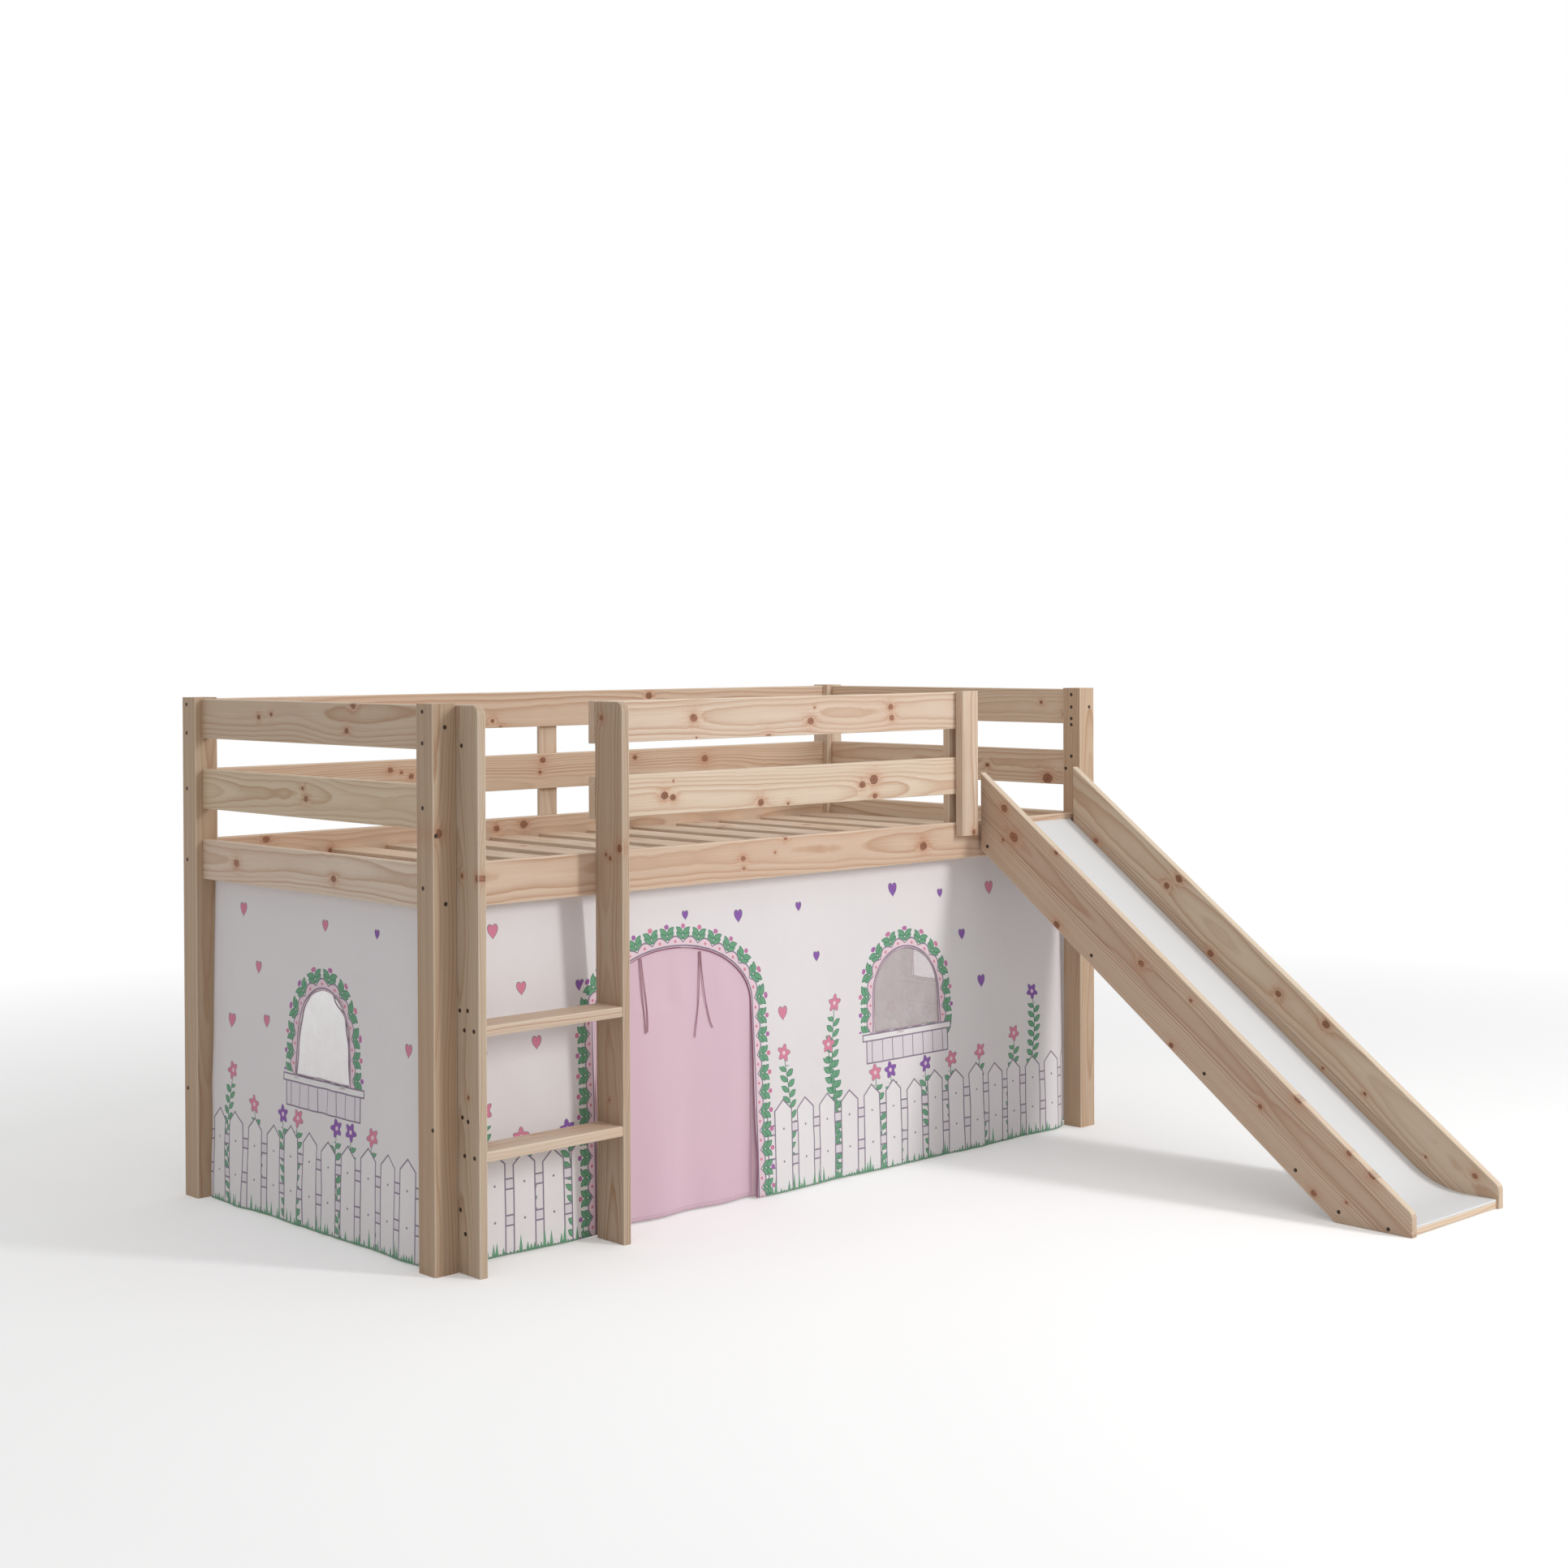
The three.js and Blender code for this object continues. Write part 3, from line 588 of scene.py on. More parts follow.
# Slide sheet
# One board faced with smooth white laminate lies between the planks on five bars and a foot bar. It runs
# straight down from the side board, bends level at the foot and ends just short of the planks' noses.
slide_low, slide_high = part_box("slide_surface")
sheet_thickness = 0.005
sheet_arris = 0.0006
run_out_height = 0.021
bend_radius = 0.22
bend_steps = 36
straight_steps = 40
laminate_white = (0.708, 0.716, 0.726)
scuffed_white = (0.64, 0.64, 0.645)


def tube_faces(rings, around):
    """Faces of a tube whose rings of points follow one another, with a cap at each end."""
    ring, spot = np.meshgrid(np.arange(rings - 1), np.arange(around), indexing="ij")
    here = (ring * around + spot).ravel()
    beside = (ring * around + (spot + 1) % around).ravel()
    sides = np.column_stack([here, beside, beside + around, here + around]).tolist()
    last = (rings - 1) * around
    return [list(range(around))[::-1], *sides, list(range(last, last + around))]


def made(name, points, faces, materials, slot, replaced=(), rides=True):
    """A smooth mesh piece, with its points already in the bed's own frame. It rides on the bed's body,
    unless its cloth joins two bodies."""
    mesh = bpy.data.meshes.new(name)
    mesh.from_pydata(np.asarray(points).tolist(), [], faces)
    for material in materials:
        mesh.materials.append(material)
    mesh.polygons.foreach_set("use_smooth", [True] * len(mesh.polygons))
    piece = bpy.data.objects.new(name, mesh)
    scene.collection.objects.link(piece)
    if replaced:
        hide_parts(*replaced)
    if rides:
        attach(piece, "bed")
    return piece


def white_laminate():
    """Satin white facing: faint long scuffs down the slide that dull it, and a slight orange-peel bump."""
    finish = Finish("white_laminate")
    place = finish.place()
    scuffs = finish.noise(finish.stretched(place, (9.0, 0.7, 0.7)), 14.0, detail=5.0, roughness=0.62)
    bump = finish.bump(0.12, 0.0002, finish.noise(place, 420.0))
    worn = finish.blend(((scuffs - 0.52) * 3).within() * 0.35, laminate_white, scuffed_white)
    return finish.surface(worn, 0.4 + scuffs * 0.14, {"Normal": bump, "Specular IOR Level": 0.22})


def slide_line():
    """The top of the sheet in Y and Z, and the way square to it: level, then an arc that touches both
    straight lines, then the slope."""
    bend_y = slide_high.y - (slide_high.z - run_out_height) / math.tan(slide_slope)
    centre_y = bend_y - bend_radius * math.tan(slide_slope / 2)
    turned = np.linspace(0, slide_slope, bend_steps + 1)
    arc_y = centre_y + bend_radius * np.sin(turned)
    arc_z = run_out_height + bend_radius * (1 - np.cos(turned))
    share = np.linspace(0, 1, straight_steps + 1)[1:]
    straight_y = arc_y[-1] + (slide_high.y - arc_y[-1]) * share
    straight_z = arc_z[-1] + (slide_high.z - arc_z[-1]) * share
    line_y = np.concatenate([[slide_low.y], arc_y, straight_y])
    line_z = np.concatenate([[run_out_height], arc_z, straight_z])
    tilt = np.concatenate([[0], turned, np.full(straight_steps, slide_slope)])
    return np.column_stack([line_y, line_z]), np.column_stack([np.sin(tilt), -np.cos(tilt)])


top_line, square_to_it = slide_line()
under_line = top_line + sheet_thickness * square_to_it
under_line[-1] = (slide_high.y, slide_high.z - sheet_thickness / math.cos(slide_slope))
slide_edges = [
    (slide_low.x, under_line),
    (slide_high.x, under_line),
    (slide_high.x, top_line),
    (slide_low.x, top_line),
]
rings = np.stack([np.column_stack([np.full(len(edge), side), edge]) for side, edge in slide_edges], axis=1)
slide_faces = tube_faces(len(rings), len(slide_edges))
facing = [white_laminate()]
slide_sheet = made(
    "slide_sheet", rings.reshape(-1, 3), slide_faces, facing, "white_laminate", ["slide_surface"]
)
arris = slide_sheet.modifiers.new("arris", "BEVEL")
arris.width = sheet_arris
arris.segments = 2
arris.harden_normals = True


# Screws
# Countersunk dark bronze screws hold the boards to the posts, the treads and the side board to the stiles,
# and the slide's bars to its planks. Each is driven flush, with a hexagon socket.
screw_radius = 0.0045
socket_radius = 0.0019
screw_around = 18
head_profile = [(1.0, -0.001), (1.0, 0.0001), (0.93, 0.0004), (0.7, 0.0006)]
socket_depths = [0.0006, 0.0002]
bed_left, bed_right = -1.044, 1.044
post_inner = 0.987
posts_front = 0.105
stiles_left, stiles_right = -0.9868, -0.5958
planks_left, planks_right = 0.6058, 0.9868
back_heights = (1.124, 1.059, 0.932, 0.77)
plank_screws = [
    (0.091, 0.755), (-0.233, 0.516), (-0.556, 0.278), (-0.798, 0.098), (-0.907, 0.025), (-1.028, 0.0095),
]
screw_seats = {
    "frame_screws": {
        "-x": [
            *[(bed_left, 1.066, height) for height in back_heights],
            *[(bed_left, 0.14, height) for height in (1.124, 1.061, 0.932, 0.772)],
            (bed_left, 0.111, 0.293), (bed_left, 1.07, 0.247),
            *[(post_inner, 0.134, height) for height in (1.123, 1.091, 1.061, 1.045, 0.963)],
            (post_inner, 0.153, 0.931),
        ],
        "+x": [
            *[(bed_right, 1.066, height) for height in back_heights],
            *[(bed_right, 0.133, height) for height in (0.802, 0.742)],
        ],
        "-y": [
            (x, posts_front, height)
            for x, height in ((-1.014, 1.093), (-1.037, 0.878), (-1.014, 0.741), (1.024, 1.091))
        ],
    },
    "ladder_screws": {
        "-x": [
            (stiles_left, y, z)
            for y, z in (
                (0.087, 1.056), (0.097, 0.527), (0.071, 0.529), (0.082, 0.489), (0.05, 0.49),
                (0.09, 0.314), (0.071, 0.308), (0.083, 0.238), (0.05, 0.238), (0.098, 0.128),
                (0.082, 0.082),
            )
        ],
        "+x": [(stiles_right, y, z) for z in (0.489, 0.239) for y in (0.085, 0.052)],
    },
    "slide_screws": {
        "-x": [(planks_left, y, z) for y, z in plank_screws],
        "+x": [(planks_right, y, z) for y, z in plank_screws],
    },
}
facing_turns = {
    "-x": Euler((0, -math.pi / 2, 0)),
    "+x": Euler((0, math.pi / 2, 0)),
    "-y": Euler((math.pi / 2, 0, 0)),
}


def screw_head():
    """A turned head about Z: each ring is a circle, and the socket's rings are hexagons, whose radius is
    the half width over the cosine of the angle from the middle of a side."""
    angle = np.linspace(0, 2 * math.pi, screw_around, endpoint=False)
    off_side = (angle + math.pi / 6) % (math.pi / 3) - math.pi / 6
    rounds = [(screw_radius * share * np.ones(screw_around), height) for share, height in head_profile]
    sockets = [(socket_radius / np.cos(off_side), height) for height in socket_depths]
    ring_points = [
        np.column_stack([reach * np.cos(angle), reach * np.sin(angle), np.full(screw_around, height)])
        for reach, height in rounds + sockets
    ]
    return np.vstack(ring_points), tube_faces(len(ring_points), screw_around)


def screw_bronze():
    """Dark bronze plating, browner and duller in patches."""
    finish = Finish("screw_bronze")
    patches = finish.noise(finish.place(), 900.0)
    colour = finish.blend(patches, (0.035, 0.024, 0.017), (0.085, 0.058, 0.038))
    return finish.surface(colour, 0.38 + patches * 0.2, {"Metallic": 0.7})


bronze = screw_bronze()
head_points, head_faces = screw_head()
for group, seats in screw_seats.items():
    group_points, group_faces = [], []
    for way, places in seats.items():
        turned_head = head_points @ np.array(facing_turns[way].to_matrix()).T
        for place in places:
            first = len(group_points) * len(head_points)
            group_points.append(turned_head + np.array(place))
            group_faces += [[corner + first for corner in face] for face in head_faces]
    made(group, np.vstack(group_points), group_faces, [bronze], "pine")


# Garden print
# The curtains' cotton shows a picket fence in grass with flowering plants behind it, hearts above, a box
# under each window and scallops round each arch. Sizes are metres on the flat cloth, and a line's size is
# half its width.
ink_half = 0.0017
ink_colour = (0.25, 0.2, 0.27)
cotton_colour = (0.825, 0.79, 0.795)
fence_tint = (0.74, 0.69, 0.725)
leaf_green = (0.145, 0.36, 0.21)
leaf_ink = (0.06, 0.19, 0.12)
petal_pink = (0.68, 0.23, 0.33)
petal_purple = (0.25, 0.1, 0.4)
scallop_pink = (0.8, 0.62, 0.68)
cotton_shade = (0.76, 0.715, 0.725)
thin_half = 0.0008
stem_half = 0.0011
leaf_edge = 0.0009
leaf_step = 0.024
leaf_size = (0.026, 0.0062, 0.62)
sprig_size = (0.024, 0.0055, 0.75)
sprig_heights = (0.018, 0.029)
stem_sway = 0.009
petal_reach, petal_swell, flower_heart = 0.0165, 0.0042, 0.0048
plant_rows = [(0.236, 0.3, 0.47, 2.0), (0.157, 0.235, 0.33, 5.4)]
side_margin = 0.04
window_margin = 0.19
under_box = 0.232
picket_pitch, picket_half, picket_top, head_slope = 0.074, 0.0265, 0.198, 0.9
rail_heights, rail_half, nail_radius = (0.07, 0.145), 0.0105, 0.0026
blade_width = 0.0085
heart_pitch = (0.172, 0.118)
heart_drift = (0.06, 0.03)
hearts_from, hearts_over_sill = 0.36, 0.27
scallop_pitch, scallop_clear = 0.043, 0.056
scallop_least, scallop_swell, inner_line = 0.012, 0.013, 0.0045
dot_height, dot_radius = 0.0135, 0.0034
bud_height, bud_radius = 0.047, 0.0055
box_half, box_middle, box_depth, slat_width = 0.142, -0.043, 0.028, 0.0355
ledge_out, ledge_middle, ledge_half = 0.012, -0.0105, 0.0075
hem_seam, heading_seam, seam_half = 0.0105, 0.722, 0.0005
stitch_gap = 0.16


class Print(Finish):
    """A garden print in the making: its colour so far, and a point's place on the cloth, along and off the
    nearest arch, and from the window's middle, its sill and the nearest hem."""

    def __init__(self, name):
        super().__init__(name)
        self.colour = cotton_colour
        self.across, self.up, _ = self.parts(self.node("UVMap", uv_map="cloth"))
        layers = ("trim", "sill")
        trim, sill = (self.node("Attribute", out="Vector", attribute_name=layer) for layer in layers)
        self.along, self.off, self.from_right = self.parts(trim)
        self.from_middle, self.over_sill, self.from_edge = self.parts(sill)
        self.clear = (self.off - scallop_clear).filled()

    def lay(self, share, tint):
        self.colour = self.blend(share, self.colour, tint)

    def draw(self, inward, fill, ink=ink_colour, line=ink_half, clear=1.0):
        """A shape, filled and with its outline inked. It is given by the distance in from its outline."""
        self.lay(inward.filled() * clear, fill)
        self.lay((line - abs(inward)).filled() * clear, ink)

    def leaf(self, aside, up, size, clear):
        """A lens from its stalk, which slants up: its half width is a parabola along it. Both sides of a
        stem have one, as aside is the distance from the stem."""
        length, breadth, slant = size
        cosine, sine = math.cos(slant), math.sin(slant)
        along = (aside * cosine + up * sine) / length
        inward = along * (1 - along) * 4 * breadth - abs(up * cosine - aside * sine)
        self.draw(inward, leaf_green, leaf_ink, leaf_edge, clear)

    def plants(self, pitch, low, high, salt):
        """A row of flowering plants. A stem sways as a sine of its height, has leaves in pairs all the way
        up and ends in a blossom of five petals, whose radius swells with the cosine of five times its
        angle. Those under the window stay below its box, and none stands in the side hems."""
        cell = self.across / pitch + salt
        number = cell.floor()
        lean = (self.random(number, salt + 7.3) - 0.5) * 0.4
        kind = self.random(number, salt + 3.1)
        upright = (cell - number - 0.5 - lean) * pitch
        from_sides = (self.across - upright).least(self.from_right + upright)
        clear = (from_sides - side_margin).filled() * self.clear
        window_free = (abs(self.from_middle - upright) - window_margin).filled()
        tall = (self.random(number, salt) * (high - low) + low).least(window_free + under_box)
        beside = upright - (self.up * 17 + number).sine() * stem_sway
        below_tip = (tall - 0.012 - self.up).filled() * clear
        self.lay((stem_half - abs(beside)).filled() * below_tip, leaf_ink)
        step = (self.up / leaf_step + beside.sign() * 0.25) % 1.0
        leafy = (tall - 0.03 - self.up).filled() * clear
        self.leaf(abs(beside), step * leaf_step - 0.004, leaf_size, leafy)
        over = self.up - tall
        reach = radius(beside, over)
        turn = beside.arctan2(over)
        petals = (turn * 5 + number).cosine() * petal_swell + petal_reach - reach
        petal_colour = self.blend((kind - 0.55).filled(), petal_pink, petal_purple)
        self.draw(petals, petal_colour, ink_colour, thin_half, clear)
        self.lay((flower_heart - reach).filled() * clear, scallop_pink)

    def fence(self):
        """A picket fence in ink outline: two rails, then pickets with pointed heads and a nail at each
        rail, standing in short grass."""
        cell = self.across / picket_pitch
        number = cell.floor()
        side = abs(cell - number - 0.5) * picket_pitch
        for height in rail_heights:
            self.draw(rail_half - abs(self.up - height), fence_tint)
        top = self.random(number, 1.7) * 0.014 + picket_top
        head = (top - side * head_slope - self.up) * math.cos(math.atan(head_slope))
        self.draw((picket_half - side).least(head), cotton_colour)
        for height in rail_heights:
            self.lay((nail_radius - radius(side, self.up - height)).filled(), ink_colour)
        blade = self.across / blade_width
        tuft = self.random(blade.floor(), 4.4) ** 3 * 0.038 + 0.004
        grass = tuft * (1 - abs(blade % 1.0 - 0.5) * 1.7) - self.up
        self.draw(grass, leaf_green, leaf_ink, 0.0007)

    def hearts(self):
        """Small hearts in loose rows: the square of x and of (y less a share of the root of x) sum to one.
        None touches the window's frame."""
        row = (self.up / heart_pitch[1]).floor()
        cell = self.across / heart_pitch[0] + row * 0.37
        column = cell.floor()
        number = column * 7.13 + row * 3.71
        size = self.random(number, 5.9) * 0.006 + 0.0085
        aside = (self.random(number, 8.8) - 0.5) * heart_drift[0]
        raised = (self.random(number, 9.7) - 0.5) * heart_drift[1]
        x = ((cell - column - 0.5) * heart_pitch[0] + aside) / size
        y = ((self.up / heart_pitch[1] - row - 0.5) * heart_pitch[1] + raised) / size
        beside_window = abs(self.from_middle - x * size) - window_margin
        off_window = beside_window.most(self.over_sill - y * size - hearts_over_sill).filled()
        there = (0.62 - self.random(number, 2.2)).filled() * (self.up - hearts_from).filled()
        there = there * self.clear * (self.from_edge - 0.02).filled() * off_window
        inward = (1 - radius(x, y - abs(x) ** 0.5 * 0.8)) * size
        tone = self.blend((self.random(number, 6.1) - 0.5).filled(), petal_pink, petal_purple)
        self.draw(inward, tone, ink_colour, thin_half, there)

    def scallops(self):
        """A scalloped edging round an arch: its outline swells with the cosine of the way along, each
        scallop holds a dot, and a leafy sprig with a bud stands where two scallops meet."""
        cell = self.along / scallop_pitch
        middle = (cell - cell.floor() - 0.5) * scallop_pitch
        joint = ((cell + 0.5) % 1.0 - 0.5) * scallop_pitch
        beside_path = (self.along - 0.002).filled()
        for height in sprig_heights:
            self.leaf(abs(joint), self.off - height, sprig_size, beside_path)
        bud = bud_radius - radius(joint, self.off - bud_height)
        bud_tone = self.blend(self.random((cell + 0.5).floor(), 3.3) * 0.8, petal_pink, petal_purple)
        self.lay(bud.filled() * beside_path, bud_tone)
        swell = (middle * (math.pi / scallop_pitch)).cosine() * scallop_swell
        self.draw(swell + scallop_least - self.off, scallop_pink)
        self.lay((ink_half - abs(self.off - inner_line)).filled(), ink_colour)
        self.lay((dot_radius - radius(middle, self.off - dot_height)).filled(), petal_pink)

    def window_box(self):
        """A slatted box under a sill: a rectangle with ink lines, on the window's own middle."""
        aside = abs(self.from_middle)
        board = (box_half - aside).least(box_depth - abs(self.over_sill - box_middle))
        self.lay(board.filled(), fence_tint)
        slat_lines = ink_half * 0.7 - abs((self.from_middle / slat_width) % 1.0 - 0.5) * slat_width
        self.lay((ink_half - abs(board)).most(slat_lines.least(board)).filled(), ink_colour)
        ledge = (box_half + ledge_out - aside).least(ledge_half - abs(self.over_sill - ledge_middle))
        self.draw(ledge, cotton_colour)


def stitches(across, up, pitch):
    """1 on a seam's stitches and 0 in the gaps between them, whichever way the seam runs."""
    return ((abs((across + up) / pitch % 1.0 - 0.5) - stitch_gap) * pitch).filled()


def printed_cotton(name, fade):
    """Plain-woven cotton with a garden print, read from the cloth's own flat map. The reverse shows the
    print faded. Stitches run along the hems and the heading."""
    finish = Print(name)
    place = finish.place()
    finish.lay(finish.noise(place, 3.2, detail=3.0), cotton_shade)
    for row in plant_rows:
        finish.plants(*row)
    finish.hearts()
    finish.fence()
    finish.scallops()
    finish.window_box()
    finish.lay(fade, cotton_colour)
    off_seam = abs(finish.from_edge - hem_seam)
    seam = (seam_half - off_seam).most(seam_half - abs(finish.up - heading_seam)).filled()
    finish.lay(seam * stitches(finish.across, finish.up, 0.0046) * 0.5, (0.5, 0.46, 0.48))
    weave = finish.threads(finish.joined(finish.across, finish.up), 900.0)
    rumple = finish.noise(place, 38.0, detail=4.0)
    hem_dent = (0.0016 - off_seam).filled()
    bump = finish.bump(0.5, 0.0016, weave * 0.04 + rumple - hem_dent * 0.5)
    return finish.surface(finish.colour, woven_roughness, {"Normal": bump, "Sheen Weight": cotton_sheen})


# Curtains
# Printed cotton hangs from the front ledge and inside each end's lower board, and leans out to its hem. The
# front one has a doorway and a window, and each end one a window, all arched and edged with scallops.
cloth_cell = 0.0085
cloth_thickness = 0.001
lean_height = 0.727
fold_depth = 0.006
fold_power = 1.2
crease_depth, end_crease_depth = 0.001, 0.0017
crease_seed, crease_count = 5, 70
end_crease_seed, end_crease_count = 9, 36
arch_steps = 40
measure_steps = 400
snap_share = 0.3
below_hem = 0.05
front_low, front_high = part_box("front_curtain")
front_top_y, front_hem_y = 0.165, 0.133
front_lean_power = 1.5
turn_start, turn_width, turn_depth = 0.91, 0.058, 0.018
end_top_x, end_hem_x = 1.0042, 1.0205
end_lean_power = 1.1
end_front_y, end_back_y = 0.165, 1.01
front_folds = [
    (0.06, 0.11, 1), (0.15, 0.08, -0.6), (0.475, 0.09, -0.8),
    (0.57, 0.1, 1), (0.81, 0.11, -1), (0.91, 0.09, 0.7),
]
end_folds = [(0.1, 0.18, 0.8), (0.25, 0.14, -0.5), (0.7, 0.16, -0.6), (0.87, 0.2, 1)]
Arch = namedtuple("Arch", "middle foot spring base bend crown")
doorway = Arch(middle=-0.3725, foot=0.468, spring=0.458, base=0.0, bend=0.449, crown=0.589)
front_window = Arch(middle=0.369, foot=0.23, spring=0.222, base=0.33, bend=0.412, crown=0.521)
end_window = Arch(middle=0.62, foot=0.204, spring=0.19, base=0.33, bend=0.412, crown=0.521)


def drop_at(z):
    """How far down the cloth a height is: 0 along its top, where it is fixed, and 1 at the ground."""
    return np.clip(1 - z / lean_height, 0, 1)


def folds_at(table, share, z):
    """Soft folds: each is a raised squared cosine across its own width. They are deepest at the hem."""
    wave = np.zeros_like(share)
    for middle, width, depth in table:
        offset = (share - middle) / width
        wave += np.where(abs(offset) < 0.5, depth * np.cos(math.pi * offset) ** 2, 0)
    return wave * fold_depth * drop_at(z) ** fold_power


def creases(u, v, seed, count, depth):
    """The small soft creases of hung cloth: waves of many lengths and slants that fade from a middle."""
    draw = np.random.default_rng(seed)
    height = np.zeros_like(u)
    for _ in range(count):
        middle_u, middle_v = draw.uniform(u.min(), u.max()), draw.uniform(v.min(), v.max())
        slant = draw.normal(0, 0.5)
        length = draw.uniform(0.05, 0.16)
        spread_u, spread_v = draw.uniform(0.05, 0.14), draw.uniform(0.1, 0.3)
        aside, ahead = u - middle_u, v - middle_v
        across = aside * math.cos(slant) + ahead * math.sin(slant)
        wave = np.cos(2 * math.pi * across / length + draw.uniform(0, 6.3))
        fade = np.exp(-((aside / spread_u) ** 2) - (ahead / spread_v) ** 2)
        height += draw.uniform(0.3, 1) * wave * fade
    return depth * height


def lean_at(z, power):
    """How far up its lean the cloth is at a height: a power of the height, from 0 to 1."""
    return np.clip(z / lean_height, 0, 1) ** power


def front_place(x, z):
    """Where the front curtain hangs: it leans to its hem, turns back at the slide, and has soft folds and
    creases."""
    lean = lean_at(z, front_lean_power)
    past = np.maximum((x - turn_start) / turn_width, 0)
    share = (x - front_low.x) / (front_high.x - front_low.x)
    y = front_hem_y + (front_top_y - front_hem_y) * lean + turn_depth * past**2 * (1 - lean)
    wrinkles = creases(x, z, crease_seed, crease_count, crease_depth)
    y += folds_at(front_folds, share, z) + drop_at(z) ** 0.5 * wrinkles
    return np.column_stack([x, y, z])


def end_place(sign):
    """The hung curtain at an end, on the side of the sign. From outside, it runs from left to right."""

    def place(along, z):
        y = end_front_y + end_back_y - along if sign < 0 else along
        share = (y - end_front_y) / (end_back_y - end_front_y)
        reach = end_top_x + (end_hem_x - end_top_x) * (1 - lean_at(z, end_lean_power))
        wrinkles = creases(along, z, end_crease_seed + sign, end_crease_count, end_crease_depth)
        reach += folds_at(end_folds, share, z) + drop_at(z) ** 0.5 * wrinkles
        return np.column_stack([sign * reach, y, z])

    return place


def arch_path(arch, lap=0.0, foot=0.0):
    """An arch's outline: up its straight side, over half an ellipse and down to its other foot."""
    bend = np.linspace(math.pi, 0, arch_steps + 1)
    across = arch.middle + (arch.spring / 2 + lap) * np.cos(bend)
    up = arch.bend + (arch.crown + lap - arch.bend) * np.sin(bend)
    left, right = sides_of(arch, lap)
    base = arch.base - foot
    return np.vstack([(left, base), np.column_stack([across, up]), (right, base)])


def sides_of(arch, lap=0.0):
    """The places of both feet."""
    reach = arch.foot / 2 + lap
    return arch.middle - reach, arch.middle + reach


def looped(path):
    """A path led back to its start."""
    return np.vstack([path, path[:1]])


def nearest_on(path, points):
    """For each point: the nearest point of a path, how far off it is and how far along the path."""
    start, stretch = path[:-1], np.diff(path, axis=0)
    lengths = np.linalg.norm(stretch, axis=1)
    ahead = ((points[:, None] - start) * stretch).sum(2) / np.maximum(lengths**2, 1e-12)
    ahead = np.clip(ahead, 0, 1)
    foot = start + ahead[..., None] * stretch
    gap = np.linalg.norm(points[:, None] - foot, axis=2)
    best = gap.argmin(1)
    rows = np.arange(len(points))
    along = np.concatenate([[0], np.cumsum(lengths)[:-1]])[best] + ahead[rows, best] * lengths[best]
    return foot[rows, best], gap[rows, best], along


def inside_arch(arch, points, lap, foot):
    """True for points within the arch: between its tapering sides, or under its half ellipse."""
    side = abs(points[:, 0] - arch.middle)
    rise = np.clip((points[:, 1] - arch.base) / (arch.bend - arch.base), 0, 1)
    half = (arch.foot + (arch.spring - arch.foot) * rise) / 2 + lap
    over = np.maximum(points[:, 1] - arch.bend, 0) / (arch.crown + lap - arch.bend)
    return (side < half * np.sqrt(np.maximum(1 - over**2, 0))) & (points[:, 1] > arch.base - foot)


def even_cells(*stops):
    """Grid lines through each stop, with even cells of about the cloth's cell size between them, and at
    least three."""
    lines = [
        np.linspace(low, high, max(round((high - low) / cloth_cell), 3), endpoint=False)
        for low, high in zip(stops, stops[1:])
    ]
    return np.concatenate([*lines, [stops[-1]]])


def cut_sheet(across, up, cuts, inside):
    """A flat grid trimmed to arches, each with its lap and the way its feet go down. A cell stays if any
    corner does, and its other corners, with those closest to the outline, move on to it. Unused points and
    closed cells are left out."""
    u, v = np.meshgrid(across, up)
    points = np.column_stack([u.ravel(), v.ravel()])
    here = (np.arange(len(up) - 1)[:, None] * len(across) + np.arange(len(across) - 1)).ravel()
    faces = np.column_stack([here, here + 1, here + len(across) + 1, here + len(across)])
    for arch, lap, foot in cuts:
        on_path, gap, _ = nearest_on(looped(arch_path(arch, lap, foot)), points)
        firm = (inside_arch(arch, points, lap, foot) == inside) & (gap > cloth_cell * snap_share)
        faces = faces[firm[faces].any(1)]
        moved = np.zeros(len(points), bool)
        moved[faces.ravel()] = True
        moved &= ~firm
        points[moved] = on_path[moved]
    _, first, joined = np.unique(np.round(points, 6), axis=0, return_index=True, return_inverse=True)
    used, faces = np.unique(joined.ravel()[faces], return_inverse=True)
    rounds = [list(dict.fromkeys(face)) for face in faces.reshape(-1, 4).tolist()]
    return points[first[used]], [face for face in rounds if len(face) > 2]


